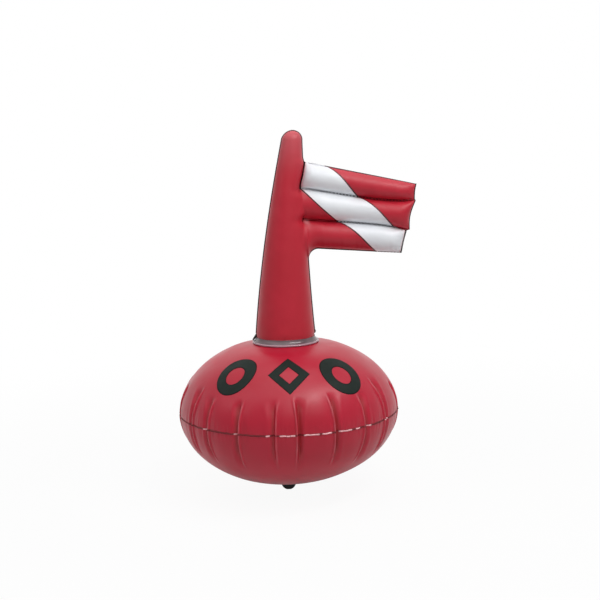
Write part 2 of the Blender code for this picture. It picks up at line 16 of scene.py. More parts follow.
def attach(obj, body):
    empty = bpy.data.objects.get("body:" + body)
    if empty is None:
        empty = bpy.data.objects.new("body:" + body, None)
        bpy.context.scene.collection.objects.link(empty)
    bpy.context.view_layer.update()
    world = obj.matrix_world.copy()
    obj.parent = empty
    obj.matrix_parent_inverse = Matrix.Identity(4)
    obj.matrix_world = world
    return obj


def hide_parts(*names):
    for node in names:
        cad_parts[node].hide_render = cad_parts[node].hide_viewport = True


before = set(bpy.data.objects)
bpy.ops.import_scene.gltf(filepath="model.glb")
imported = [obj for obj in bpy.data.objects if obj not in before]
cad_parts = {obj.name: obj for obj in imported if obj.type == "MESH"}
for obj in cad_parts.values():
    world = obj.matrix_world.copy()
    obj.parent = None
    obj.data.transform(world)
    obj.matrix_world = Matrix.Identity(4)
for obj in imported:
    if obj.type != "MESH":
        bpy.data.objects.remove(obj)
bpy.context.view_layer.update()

# Camera, as fitted to the photograph
photo_pixels = 600.0
camera_place = (0.0032, -2.0, 0.6193)
camera_target = (0.0279, 0.0, 0.3201)
camera_roll = 0.0294
camera_focal_pixels = 1229.25
sensor_width_mm = 36.0

# Lamps: place, target, width, height and power, and False for one that highlights don't show
lamps = {
    "key": ((0.78, -0.69, 1.63), (0.02, -0.05, 0.22), 1.30, 0.22, 11.5),
    "overhead": ((0.0, -0.1, 1.9), (0.0, 0.0, 0.2), 1.4, 1.4, 8.0),
    "front": ((0.45, -1.3, 1.7), (0.0, 0.0, 0.25), 2.4, 1.6, 13.0),
    "left": ((-1.2, -0.5, 1.4), (0.0, 0.0, 0.25), 1.2, 1.2, 5.0),
    "rear": ((-0.3, 1.7, 1.3), (0.0, 0.0, 0.25), 1.6, 1.6, 12.0, False),
}
world_fill = 0.04
floor_size = 12.0
floor_shadow = 0.06
floor_fade_start = 0.35
floor_fade_end = 1.3
floor_under = 0.35
floor_under_start = 0.12
floor_under_end = 0.45

# Films and clearances
film = 0.0005
gap = 0.0003
weld_width = 0.002
mark_film = 0.00012
stripe_film = 0.0002
print_lift = 0.00012
shell_limit = 1.6
sharp_angle_deg = 40.0
corner_steps = 4
corners_on_a_side = 2.01
edge_segments = 4
edge_rounding_parts = 3.0
unevenness_seed = 1
float_body = "float"

# Float: two round panels welded at the equator
float_radius = 0.1806
float_half_height = 0.120
float_side_swell = 0.0028
float_lean = 0.010
lug_drop = 0.019
lobe_columns = 60
panel_rows = 72
panel_row_power = 1.45
pole_rest_share = 0.97
rim_rows = 4
rim_wave = 0.0005
rim_wave_reach = 0.006
rim_ripples = (61, 97, 23)
rim_wave_phase = 0.4
rim_droop_phase = 2.1
rim_width_phase = 0.9
rim_droop_deg = 50.0
rim_droop_wave_deg = 20.0
rim_crease_droop_deg = 35.0
rim_width_wave = 0.0004
seam_pucker = 0.00038
seam_pucker_reach = 0.0045
seam_puckers = (113, 167, 71)
seam_pucker_phase = 1.7
weld_shade_reach = 0.0011
# Painted shade in the creases, and painted highlights on the ridges beside them
fold_start_share = 0.15
fold_strength = 0.8
ridge_highlight_paint = 0.20
ridge_highlight_full_pull = 0.22
ridge_ripples = (7, 17, 31)
ridge_patch_share = 0.4
dome_unevenness = 0.0007
dome_unevenness_scale = 0.055
dome_quiet_rise = 0.5
still_rise_start = 0.95
still_rise_end = 1.15
collar_dip = 0.0025
collar_dip_inner = 0.058
collar_dip_outer = 0.095

# Creases: turn, depth, reach up, reach down and slant, each as a share of the sizes after the table
crease_shares = (
    (0.0270, 0.80, 0.90, 1.00, 0.20), (0.0800, 1.05, 1.05, 0.90, -0.30), (0.1270, 0.70, 0.80, 0.95, 0.25),
    (0.1790, 1.10, 1.00, 1.05, 0.10), (0.2240, 0.75, 0.70, 0.85, -0.20), (0.2750, 1.20, 1.05, 0.95, 0.30),
    (0.3240, 0.85, 0.85, 1.05, -0.15), (0.3690, 1.00, 0.95, 0.90, 0.20), (0.4190, 0.65, 0.75, 0.80, -0.30),
    (0.4680, 1.15, 1.05, 1.00, 0.15), (0.5220, 0.90, 0.90, 0.95, -0.10), (0.5840, 1.25, 1.00, 0.90, 0.25),
    (0.6220, 1.15, 0.85, 0.95, 0.15), (0.6750, 1.05, 0.88, 1.00, 0.10), (0.7280, 0.85, 0.90, 0.95, 0.03),
    (0.7630, 1.10, 0.95, 1.00, -0.05), (0.8165, 1.25, 1.00, 0.95, -0.20), (0.8660, 1.10, 0.90, 1.05, -0.05),
    (0.9140, 1.25, 1.15, 1.05, -0.25), (0.9760, 0.80, 0.85, 0.90, 0.10),
)
crease_depth = 0.0050
crease_width = 0.0025
crease_outer_share = 1.8
crease_inner_share = 0.7
crease_spread_up = 1.0
crease_spread_down = 0.4
crease_spread_power = 2.5
crease_ridge_share = 0.50
crease_outer_ridge_share = 0.25
crease_ridge_place = 2.0
crease_ridge_width = 0.75
crease_sharpness = 1.8
crease_wide_share = 0.28
crease_wide_width = 0.0120
crease_reach_up_deg = 30.0
crease_reach_down_deg = 33.0
crease_end_up_share = 0.38
crease_end_down_share = 0.65
crease_slant = 0.10

# Painted highlights on the float's weld rim: turn and half length, the same on the front and the rear
glint_shares = (
    (0.6185, 0.0032), (0.6730, 0.0023), (0.7202, 0.0020), (0.7410, 0.0040), (0.7483, 0.0020),
    (0.7543, 0.0027), (0.7744, 0.0041), (0.7840, 0.0055), (0.8015, 0.0064), (0.8229, 0.0020),
    (0.8323, 0.0064), (0.8494, 0.0031), (0.8710, 0.0035), (0.9149, 0.0048),
)
glint_fade_share = 0.0009

# Marks printed on the front: name, whether it is pointed, turn share and polar angle in degrees
marks_printed = (
    ("left_ball_mark", False, 0.6457, 48.5),
    ("diamond_mark", True, 0.7527, 46.3),
    ("right_ball_mark", False, 0.8542, 50.5),
)
mark_half_width = 0.0330
mark_half_height = 0.0390
mark_open_share = 0.46
mark_outline = 0.0015
mark_outline_step_share = 1.1
mark_turn_steps = 128
mark_ring_steps = 18

# Mast: an inflated tapering tube of two sheets
mast_seat_radius = 0.047
mast_seat_height = 0.0058
mast_foot_rise = 0.0045
mast_foot_radius = 0.0473
mast_swell = 0.0013
mast_tip_radius = 0.0157
mast_length = 0.340
mast_bend = 0.0217
mast_bend_power = 1.7
mast_seat_lift = 0.0026
mast_columns = 48
mast_tip_steps = 16
mast_tip_weld_shares = (0.35, 0.65, 0.85, 0.96)
mast_seat_rows = 4
mast_plain_rows = 50
mast_upper_rows = 28
mast_unevenness = 0.0005
mast_unevenness_scale = 0.045

# Flag: three welded tubes, heights of the weld lines above the origin
flag_top_root = 0.5430
flag_top_tip = 0.5043
flag_upper_seam_root = 0.5020
flag_upper_seam_tip = 0.4795
flag_upper_seam_bow = -0.0054
flag_lower_seam_root = 0.4520
flag_lower_seam_tip = 0.4295
flag_lower_seam_bow = 0.0042
flag_bottom_root = 0.4070
flag_bottom_tip = 0.3948
flag_reach_top = 0.2205
flag_reach_upper_seam = 0.2190
flag_reach_lower_seam = 0.2085
flag_reach_bottom = 0.1948
flag_bow_power = 4.0
flag_end_step_upper = 0.0015
flag_end_step_lower = 0.0050
flag_end_scallop_outer = 0.0008
flag_end_scallop_middle = 0.0036
flag_fillet_radius = 0.0170
flag_corner_bulge = 0.0020
flag_corner_reach = 0.0120
upper_root_pinch = 0.0070
upper_root_reach_up = 0.0340
lower_root_pinch = 0.0050
root_pinch_reach = 0.0130
flag_seam_width = 0.0030
flag_seam_fullness = 0.0012
flag_end_closing = 0.0220
flag_root_closing = 0.0160
tube_edge_deg = 78.0
tube_cells = 28
flag_columns = 200
flag_row_rounds = 4
root_fade_start_share = 0.35
root_sink_share = 0.18
root_sink_length = 0.030
root_blend = 4.0
flag_pucker = 0.00028
flag_pucker_reach = 0.0042
flag_pucker_lengths = (0.0113, 0.0079, 0.0187)
flag_pucker_phase = 1.3
flag_rim_wave = 0.0004
seam_dot_length = 0.0054
seam_dot_contrast = 1.1
seam_darkness = 0.6
seam_dark_start = 0.030
seam_dark_end = 0.070

# Painted highlights at the mast's tip and where the flag's inner seams leave the mast
tip_highlight_paint = 0.13
tip_highlight_reach = 0.085
root_highlight_paint = 0.50
root_highlight_place = 0.004
root_highlight_reach = 0.007
root_highlight_share = 0.20

# White stripe: where its borders cross the weld lines, measured from the frame's Z axis
stripe_left_at_upper_seam = 0.0345
stripe_left_at_lower_seam = 0.0938
stripe_left_at_bottom = 0.1560
stripe_right_at_top = 0.0748
stripe_right_at_upper_seam = 0.1250
stripe_right_at_lower_seam = 0.1825
stripe_left_bow_shares = (0.16, 0.03, 0.0)
stripe_right_bow_share = 0.18
stripe_bow_place_share = 0.75
stripe_bow_power = 1.5
stripe_edge_margin = 0.0013
stripe_border = 0.0030
# Width of the painted highlight just inside each border of the stripe
stripe_highlight_edge = 0.0024
stripe_border_step = 0.0001
stripe_columns = 110

# Collar round the mast's foot
collar_foot_radius = 0.0550
collar_height = 0.0105
collar_film = 0.0009
collar_film_top_share = 0.6
collar_flare_power = 2.2
collar_bead = 0.0019
collar_bead_start_deg = 115.0
collar_bead_sweep_deg = 265.0
collar_foot_shade = 0.5
collar_profile_steps = 12
collar_steps = 180
collar_unevenness = 0.00025
collar_unevenness_share = 0.25
ear_thickness = 0.0014
ear_edge_share = 0.25
ear_height_share = 1.5

# Line lug and its patch
lug_width = 0.0246
lug_flat_width = 0.006
lug_thickness = 0.010
lug_edge_bevel = 0.0015
lug_base_radius = 0.021
lug_base_thickness = 0.0025
lug_eye_radius = 0.0033
lug_eye_depth = 0.0075
lug_eye_ring = 0.0013
lug_eye_ring_height = 0.0005
lug_eye_steps = 64
lug_round_steps = 20
patch_radius = 0.034
patch_film = 0.0008
patch_weld = 0.0030
patch_weld_depth = 0.00025
patch_steps = 96
dome_steps = 10

# Air valves
valve_flange_radius = 0.0140
valve_flange_thickness = 0.0010
valve_flange_edge_shares = ((1.0, 0.55), (0.86, 0.8), (0.84, 1.0))
valve_skirt_radius = 0.0075
valve_skirt_depth = 0.0040
valve_stem_radius = 0.0057
valve_stem_wall = 0.0012
valve_stem_depth = 0.0160
valve_stem_lip = 0.0022
valve_stem_lip_radius = 0.0068
valve_stem_stop_radius = 0.0068
valve_stem_stop_height = 0.0010
valve_flap_thickness = 0.0006
valve_flap_dish_shares = (0.5, 0.7)
valve_cap_radius = 0.0070
valve_cap_thickness = 0.0016
valve_crown_share = 0.6
valve_cap_edge_share = 0.85
valve_plug_length = 0.0080
valve_plug_taper = 0.0005
valve_strap_width = 0.0045
valve_strap_thickness = 0.0009
valve_strap_end_share = 0.8
valve_strap_rise_power = 2.5
valve_strap_steps = 20
valve_rounding = 0.0004
valve_steps = 64
valve_grips = 18
valve_grip_share = 0.04
valve_grip_start_share = 0.9
float_valve_polar_deg = 35.0
mast_valve_height = 0.318
valve_hole_snap = 0.0016

# A strap's section, as shares of its width and thickness
strap_section_shares = (
    (-0.5, -0.3), (-0.425, -0.5), (0.425, -0.5), (0.5, -0.3),
    (0.5, 0.3), (0.425, 0.5), (-0.425, 0.5), (-0.5, 0.3),
)

# Places that follow from the sizes
float_centre_z = lug_drop + float_half_height
float_top_z = lug_drop + 2.0 * float_half_height
mast_seat_x = float_lean * (float_top_z - lug_drop)
mast_seat_sag = mast_seat_radius ** 2 * float_half_height / (2.0 * float_radius ** 2)
mast_seat_z = float_top_z - mast_seat_sag + mast_seat_lift
mast_foot_z = mast_seat_z + mast_seat_height + mast_foot_rise
mast_top_z = mast_seat_z + mast_length
mast_tip_z = mast_top_z - mast_tip_radius - weld_width


# Mesh helpers

def smooth_step(value):
    """0 below 0, 1 above 1, and smooth between, for a number or an array."""
    value = np.clip(value, 0.0, 1.0)
    return value * value * (3.0 - 2.0 * value)


def clamp(value):
    """A number kept between 0 and 1."""
    return min(max(value, 0.0), 1.0)


def ripple(along, counts, phase):
    """An irregular wave between about -1 and 1 from three sines."""
    total = 0.0
    for index, count in enumerate(counts):
        total = total + np.sin(count * along + phase * (index + 1.0) + index)
    return total / len(counts)


def near_weld(distance, reach):
    """0 at a weld, 1 at the reach from it, and fading beyond."""
    share = distance / reach
    return share * np.exp(1.0 - share)


def even(count):
    """Shares from 0 to 1 in equal steps."""
    return [step / count for step in range(count + 1)]


def crowded(count):
    """Shares from 0 to 1, closer together at both ends."""
    return (1.0 - np.cos(np.pi * np.arange(count + 1) / count)) / 2.0


def linked(name, data):
    """A new object in the scene."""
    item = bpy.data.objects.new(name, data)
    bpy.context.scene.collection.objects.link(item)
    return item


@contextmanager
def edited(item):
    """A bmesh of an object's mesh, which gets its changes."""
    bm = bmesh.new()
    bm.from_mesh(item.data)
    yield bm
    bm.to_mesh(item.data)
    bm.free()


def mesh_object(name, points, faces, marks=None):
    """A smooth-shaded object. marks holds named values, one for each point, which the materials read."""
    mesh = bpy.data.meshes.new(name)
    mesh.from_pydata([tuple(point) for point in points], [], faces)
    for mark, values in (marks or {}).items():
        attribute = mesh.attributes.new(mark, "FLOAT", "POINT")
        attribute.data.foreach_set("value", np.asarray(values, np.float32))
    mesh.shade_smooth()
    return linked(name, mesh)


def grid_faces(rows, columns, wrapped=False, flipped=False):
    """Quads between neighbouring rows and columns of a grid of points."""
    faces = []
    for low in range(0, (rows - 1) * columns, columns):
        high = low + columns
        for column in range(columns if wrapped else columns - 1):
            after = (column + 1) % columns
            face = (low + column, low + after, high + after, high + column)
            faces.append(face[::-1] if flipped else face)
    return faces


def thicken(item, thickness):
    """Give a film its thickness, outward."""
    modifier = item.modifiers.new("film", "SOLIDIFY")
    modifier.thickness = thickness
    modifier.offset = 1.0


def turned(name, profile, steps, shades=None):
    """A turned object about Z from an (r, z) outline, closed at the axis or back to its first point."""
    points = []
    marks = []
    rings = []
    for index, (radius, height) in enumerate(profile):
        count = 1 if radius == 0.0 else steps
        rings.append(range(len(points), len(points) + count))
        for step in range(count):
            turn = math.tau * step / steps
            points.append((radius * math.cos(turn), radius * math.sin(turn), height))
            marks.append(shades[index] if shades else 0.0)
    if profile[0][0] > 0.0:
        rings.append(rings[0])
    faces = []
    for lower, upper in zip(rings[:-1], rings[1:]):
        for step in range(steps):
            after = (step + 1) % steps
            if len(lower) == 1:
                faces.append((lower[0], upper[after], upper[step]))
            elif len(upper) == 1:
                faces.append((lower[step], lower[after], upper[0]))
            else:
                faces.append((lower[step], lower[after], upper[after], upper[step]))
    item = mesh_object(name, points, faces, {"weld": marks})
    face_outward(item)
    return item


def face_outward(item):
    """Turn all faces of a closed mesh outward."""
    with edited(item) as bm:
        bmesh.ops.recalc_face_normals(bm, faces=bm.faces)


def rounded(outline, radius):
    """An (r, z) outline with each corner off the axis rounded, two on a short side just apart."""
    points = []
    count = len(outline)
    for index, point in enumerate(outline):
        here = Vector(point)
        before = Vector(outline[index - 1]) - here
        after = Vector(outline[(index + 1) % count]) - here
        if point[0] == 0.0:
            points.append(tuple(here))
            continue
        size = min(radius, before.length / corners_on_a_side, after.length / corners_on_a_side)
        start = here + before.normalized() * size
        end = here + after.normalized() * size
        for share in even(corner_steps):
            points.append(tuple(start.lerp(here, share).lerp(here.lerp(end, share), share)))
    return points


def slab(name, outline, thickness, bevel):
    """A plate with rounded edges from an (x, z) outline, centred on Y."""
    item = linked(name, bpy.data.meshes.new(name))
    with edited(item) as bm:
        face = bm.faces.new([bm.verts.new((x, -thickness / 2.0, z)) for x, z in outline])
        solid = bmesh.ops.extrude_face_region(bm, geom=[face])
        for vert in (part for part in solid["geom"] if isinstance(part, bmesh.types.BMVert)):
            vert.co.y += thickness
        bmesh.ops.recalc_face_normals(bm, faces=bm.faces)
    rounding = item.modifiers.new("rounding", "BEVEL")
    rounding.width = bevel
    rounding.segments = edge_segments
    rounding.angle_limit = math.radians(sharp_angle_deg)
    return item


def join_shape(item, other, operation):
    """Add or cut another shape, and keep only the result."""
    step = item.modifiers.new("join", "BOOLEAN")
    step.operation = operation
    step.solver = "EXACT"
    step.object = other
    settle(item)
    bpy.data.objects.remove(other, do_unlink=True)


def settle(item):
    """Replace an object's mesh by what its modifiers make of it."""
    bpy.context.view_layer.update()
    made = bpy.data.meshes.new_from_object(item.evaluated_get(bpy.context.evaluated_depsgraph_get()))
    item.modifiers.clear()
    item.data = made
    made.shade_smooth()
    made.set_sharp_from_angle(angle=math.radians(sharp_angle_deg))


def roughen(item, size, scale):
    """Small soft irregularities of a hand-made piece, the same in each run."""
    noise.seed_set(unevenness_seed)
    for vert in item.data.vertices:
        vert.co += noise.noise_vector(vert.co / scale) * size


# Colours of each finish: plain and deep, then a film's painted crease shade, welds and painted highlights,
# or a bead or edge
white = (1.0, 1.0, 1.0)
floor_colour = (0.85, 0.85, 0.85)
# Painted highlight colour of the red films, then their painted crease shade colour
painted_highlight_red = (0.95, 0.52, 0.55)
folded_red = (0.36, 0.030, 0.034)
float_colours = ((0.52, 0.008, 0.036), (0.45, 0.006, 0.026), folded_red, (0.15, 0.006, 0.010), painted_highlight_red)
sheet_colours = ((0.53, 0.016, 0.038), (0.46, 0.013, 0.028), folded_red, (0.014, 0.005, 0.006), painted_highlight_red)
stripe_colours = (
    (0.86, 0.88, 0.91), (0.80, 0.82, 0.86), (0.60, 0.60, 0.64), (0.014, 0.004, 0.005), (0.94, 0.74, 0.77),
)
# The collar's bead colour is paler, partly its own tone and partly a painted highlight
collar_colours = ((0.22, 0.13, 0.15), (0.15, 0.09, 0.10), (0.60, 0.38, 0.45))
valve_colours = ((0.78, 0.76, 0.76), (0.66, 0.64, 0.65), (0.8, 0.8, 0.8))
cap_colours = ((0.54, 0.018, 0.040), (0.44, 0.012, 0.030))
black_colours = ((0.006, 0.006, 0.006), (0.012, 0.011, 0.010))
ink_colours = ((0.005, 0.011, 0.008), (0.009, 0.016, 0.013), (0.003, 0.001, 0.001))

# Finishes: each film's roughness, roughness at the welds and gloss, and how the surfaces are uneven
float_finish = (0.34, 0.60, 0.37)
sheet_finish = (0.43, 0.50, 0.36)
stripe_finish = (0.38, 0.50, 0.45)
roughness_below = 0.04
roughness_above = 0.06
film_wave_scale = 28.0
film_wave_strength = 0.5
film_wave_height = 0.0005
film_tone_scale = 9.0
film_grain_scale = 620.0
film_grain_share = 0.35
film_grain_strength = 0.3
film_grain_height = 0.00002
cloud_scale = 70.0
cloud_detail = 4.0
cloud_roughness = 0.08
clear_wave_scale = 160.0
clear_wave_strength = 0.35
clear_wave_height = 0.0004
vinyl_refraction = 1.5
moulded_tone_scale = 60.0
moulded_scale = 220.0
moulded_roughness_above = 0.10
moulded_grain_strength = 0.5
moulded_gloss = 0.4
ink_tone_scale = 500.0
ink_scale = 90.0
ink_roughness = (0.42, 0.58)
ink_gloss = 0.12
plain_detail = 2.0
fine_detail = 3.0
noise_low = 0.3
noise_high = 0.7


class Nodes:
    """Short ways to build the node tree of a material or a world."""

    def __init__(self, owner):
        self.owner = owner
        owner.use_nodes = True
        self.tree = owner.node_tree

    def fill(self, node, values):
        """Set a node's inputs, or link them where the value is another node's output."""
        for key, value in values.items():
            if isinstance(value, bpy.types.NodeSocket):
                self.tree.links.new(value, node.inputs[key])
            else:
                node.inputs[key].default_value = (*value, 1.0) if isinstance(value, tuple) else value

    def finish(self, values):
        """Fill a material's shader, and give the material."""
        self.fill(self.tree.nodes["Principled BSDF"], values)
        return self.owner

    def add(self, kind, values, output=0, **settings):
        """Make a node, and give one of its outputs."""
        node = self.tree.nodes.new("ShaderNode" + kind)
        for key, value in settings.items():
            setattr(node, key, value)
        self.fill(node, values)
        return node.outputs[output]

    def noise(self, scale, detail=plain_detail):
        """Noise over the object's own coordinates, about 0 to 1."""
        place = self.add("TexCoord", {}, "Object")
        return self.add("TexNoise", {"Vector": place, "Scale": scale, "Detail": detail})

    def spread(self, value, low, high):
        """Map a noise to a range."""
        return self.add("MapRange", {
            "Value": value, "From Min": noise_low, "From Max": noise_high, "To Min": low, "To Max": high,
        })

    def mark(self, name):
        """A named value of the mesh."""
        return self.add("Attribute", {}, "Fac", attribute_name=name)

    def mix(self, factor, first, second):
        """A colour between two colours or sockets."""
        return self.add("Mix", {"Factor": factor, 6: first, 7: second}, 2, data_type="RGBA")

    def product(self, first, second):
        """Two numbers multiplied."""
        return self.add("Math", {0: first, 1: second}, operation="MULTIPLY")

    def bump(self, height, strength, distance, below=None):
        """A bump, over another one where that is given."""
        values = {"Strength": strength, "Distance": distance, "Height": height}
        if below is not None:
            values["Normal"] = below
        return self.add("Bump", values)


def vinyl(name, colours, finish):
    """Soft vinyl film: uneven tone, fine grain, painted shade in the creases, dark welds and painted
    highlights.
    """
    nodes = Nodes(bpy.data.materials.new(name))
    plain, deep, *marked = colours
    roughness, weld_roughness, gloss = finish
    base = nodes.mix(nodes.spread(nodes.noise(film_tone_scale, fine_detail), 0.0, 1.0), plain, deep)
    grain = nodes.noise(film_grain_scale)
    base = nodes.mix(nodes.spread(grain, 0.0, film_grain_share), base, deep)
    # The marks paint shade into the creases, darken the welds and paint highlights
    for mark, colour in zip(("fold", "weld", "pale"), marked):
        base = nodes.mix(nodes.mark(mark), base, colour)
    uneven = nodes.noise(film_wave_scale, fine_detail)
    dull = nodes.spread(uneven, roughness - roughness_below, roughness + roughness_above)
    wave = nodes.bump(nodes.noise(film_wave_scale), film_wave_strength, film_wave_height)
    return nodes.finish({
        "Base Color": base,
        "Roughness": nodes.add("Mix", {"Factor": nodes.mark("weld"), "A": dull, "B": weld_roughness}),
        "Specular IOR Level": gloss,
        "Normal": nodes.bump(grain, film_grain_strength, film_grain_height, wave),
    })


def clear_vinyl(name, colours, roughness, clearness):
    """Smoky clear vinyl: partly see-through, cloudy, and paler in its beads, partly as a painted highlight.
    """
    nodes = Nodes(bpy.data.materials.new(name))
    plain, deep, bead = colours
    cloud = nodes.noise(cloud_scale, cloud_detail)
    base = nodes.mix(nodes.spread(cloud, 0.0, 1.0), plain, deep)
    return nodes.finish({
        "Base Color": nodes.mix(nodes.mark("weld"), base, bead),
        "Roughness": nodes.spread(cloud, roughness, roughness + cloud_roughness),
        "Normal": nodes.bump(nodes.noise(clear_wave_scale), clear_wave_strength, clear_wave_height),
        "Transmission Weight": clearness,
        "IOR": vinyl_refraction,
    })


def moulded(name, colours, roughness, grain_scale, grain_height):
    """Moulded vinyl with a satin grain."""
    nodes = Nodes(bpy.data.materials.new(name))
    tone = nodes.spread(nodes.noise(moulded_tone_scale, fine_detail), 0.0, 1.0)
    low = roughness - roughness_above
    return nodes.finish({
        "Base Color": nodes.mix(tone, *colours),
        "Roughness": nodes.spread(nodes.noise(moulded_scale), low, roughness + moulded_roughness_above),
        "Normal": nodes.bump(nodes.noise(grain_scale), moulded_grain_strength, grain_height),
        "Specular IOR Level": moulded_gloss,
    })


def printed(name, colours):
    """Screen-printed ink on the film, denser at its outline."""
    nodes = Nodes(bpy.data.materials.new(name))
    ink, thin, edge = colours
    tone = nodes.spread(nodes.noise(ink_tone_scale, fine_detail), 0.0, 1.0)
    return nodes.finish({
        "Base Color": nodes.mix(nodes.mark("weld"), nodes.mix(tone, ink, thin), edge),
        "Roughness": nodes.spread(nodes.noise(ink_scale), *ink_roughness),
        "Normal": nodes.bump(nodes.noise(film_wave_scale), film_wave_strength, film_wave_height),
        "Specular IOR Level": ink_gloss,
    })


def make_materials():
    """All finishes of the object."""
    return {
        "red": vinyl("red_vinyl", float_colours, float_finish),
        "sheet": vinyl("red_sheet_vinyl", sheet_colours, sheet_finish),
        "white": vinyl("white_vinyl", stripe_colours, stripe_finish),
        "collar": clear_vinyl("smoky_vinyl", collar_colours, roughness=0.10, clearness=0.30),
        "lug": moulded("black_vinyl", black_colours, roughness=0.42, grain_scale=900.0, grain_height=0.00006),
        "valve": clear_vinyl("milky_vinyl", valve_colours, roughness=0.22, clearness=0.35),
        "cap": moulded("red_moulded", cap_colours, roughness=0.38, grain_scale=700.0, grain_height=0.00005),
        "ink": printed("dark_ink", ink_colours),
    }


def set_material(item, material):
    """Give an object one material."""
    item.data.materials.clear()
    item.data.materials.append(material)


def place_piece(item, material, body, slot, *nodes):
    """Finish a piece, tie it to its body, and hide the nodes that it stands for. Its slot is not used."""
    set_material(item, material)
    if nodes:
        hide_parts(*nodes)
    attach(item, body)


# Float panels

def crease_at(crease, rise, side):
    """A crease's turn at a rise from the equator, its depth and reach, and the side that folds over it."""
    turn, depth, up, down, slant = crease
    reach = math.radians(crease_reach_up_deg * up if side > 0.0 else crease_reach_down_deg * down)
    hand = math.copysign(1.0, slant)
    return math.tau * turn + slant * crease_slant * np.minimum(rise, reach) * side, depth, reach, hand


def crease_pull(distance, rise, depth, reach, side):
    """How far a crease draws the film in at a distance beside it: a soft slope, a valley and a ridge."""
    share = np.clip(rise / reach, 0.0, 1.0)
    end_share = crease_end_up_share if side > 0.0 else crease_end_down_share
    spread = crease_spread_up if side > 0.0 else crease_spread_down
    strength = crease_depth * depth * smooth_step((1.0 - share) / end_share)
    folded = distance > 0.0
    width = crease_width * np.where(folded, crease_inner_share, crease_outer_share)
    near = np.abs(distance) / (width * (1.0 + spread * share ** crease_spread_power))
    valley = (1.0 - crease_wide_share) * np.exp(-near ** crease_sharpness)
    ridge = crease_ridge_share * np.exp(-((near - crease_ridge_place) / crease_ridge_width) ** 2)
    ridge = ridge * np.where(folded, 1.0, crease_outer_ridge_share)
    wide = crease_wide_share * np.exp(-(distance / crease_wide_width) ** 2)
    return strength * (valley + wide - ridge)


def float_pulls(turns, rise, side):
    """How far all creases draw the film in."""
    total = 0.0
    for crease in crease_shares:
        turn, depth, reach, hand = crease_at(crease, rise, side)
        apart = (turns - turn + math.pi) % math.tau - math.pi
        total = total + crease_pull(hand * apart * float_radius * np.cos(rise), rise, depth, reach, side)
    return total


def panel_turns(rise, side):
    """Turns of a row's columns, closer together at the creases."""
    starts = [crease_at(crease, rise, side)[0] for crease in crease_shares]
    shares = crowded(lobe_columns)[:-1]
    pairs = zip(starts, starts[1:] + [starts[0] + math.tau])
    return np.concatenate([start + (end - start) * shares for start, end in pairs])


def collar_sink(radius):
    """How far the upper film lies below its round shape beside the collar's weld."""
    return collar_dip * smooth_step((collar_dip_outer - radius) / (collar_dip_outer - collar_dip_inner))


def float_skin(turns, rise, side, lift, pulls):
    """Points of a panel's skin."""
    across = np.cos(rise)
    along = np.sin(rise)
    slope = np.hypot(across / float_radius, along / float_half_height)
    arc = rise * float_half_height
    puckers = ripple(turns, seam_puckers, seam_pucker_phase * side)
    pucker = seam_pucker * near_weld(arc, seam_pucker_reach) * puckers
    shift = (lift - pulls + pucker) / slope
    radius = float_radius * across + shift * across / float_radius
    height = side * (gap / 2.0 + float_half_height * along + shift * along / float_half_height)
    height = height + rim_wave * np.exp(-arc / rim_wave_reach) * ripple(turns, rim_ripples, rim_wave_phase)
    if side > 0.0:
        height = height - collar_sink(radius)
    z = float_centre_z + height
    x = radius * np.cos(turns) + float_side_swell * across ** 2 + float_lean * (z - lug_drop)
    return np.stack([x, radius * np.sin(turns), z], axis=-1)


def float_points(turns, rise, side, lift):
    """Points of a panel's skin with its creases and its slow unevenness, which stops near the poles."""
    turns, rise = np.broadcast_arrays(turns, rise)
    points = float_skin(turns, rise, side, lift, float_pulls(turns, rise, side))
    outward = points - np.array((0.0, 0.0, float_centre_z))
    outward /= np.linalg.norm(outward, axis=1)[:, None]
    still = smooth_step((still_rise_end - rise) / (still_rise_end - still_rise_start))
    quiet = smooth_step(rise / dome_quiet_rise) * still * dome_unevenness
    waves = np.array([noise.noise(Vector(point) / dome_unevenness_scale) for point in points])
    return points + outward * (waves * quiet)[:, None]


def rim_points(side):
    """Rows of the weld rim from its outer edge inward. It droops more and less round the float."""
    turns = panel_turns(0.0, side)
    base = float_points(turns, 0.0, side, -film)
    outward = np.stack([np.cos(turns), np.sin(turns), np.zeros(len(turns))], axis=1)
    creased = np.clip(float_pulls(turns, 0.0, side) / crease_depth, 0.0, 1.0)
    droop = rim_droop_deg + rim_droop_wave_deg * ripple(turns, rim_ripples, rim_droop_phase)
    droop = np.radians(droop + rim_crease_droop_deg * creased)
    width = (weld_width + rim_width_wave * ripple(turns, rim_ripples, rim_width_phase)) / rim_rows
    rows = []
    place = base
    for _ in range(rim_rows):
        place = place + outward * (width * np.cos(droop))[:, None]
        place[:, 2] -= width * np.sin(droop)
        rows.append(place)
    return rows[::-1]


def rim_glint(turns):
    """How much highlight is painted on the weld's edge at each turn."""
    shares = turns / math.tau % 1.0
    shares = np.maximum(shares, 1.0 - shares)
    total = np.zeros(len(turns))
    for place, half in glint_shares:
        total = np.maximum(total, 1.0 - smooth_step((np.abs(shares - place) - half) / glint_fade_share))
    return total


def open_hole(item, place):
    """Open the hole that a valve's skirt passes through, round its axis."""
    radius = valve_skirt_radius + gap
    into = place.inverted()
    with edited(item) as bm:
        for vert in bm.verts:
            local = into @ vert.co
            reach = math.hypot(local.x, local.y)
            if abs(local.z) < valve_skirt_depth and abs(reach - radius) < valve_hole_snap:
                local.x *= radius / reach
                local.y *= radius / reach
                vert.co = place @ local
        inside = []
        for face in bm.faces:
            local = into @ face.calc_center_median()
            if abs(local.z) < valve_skirt_depth and math.hypot(local.x, local.y) < radius:
                inside.append(face)
        bmesh.ops.delete(bm, geom=inside, context="FACES")


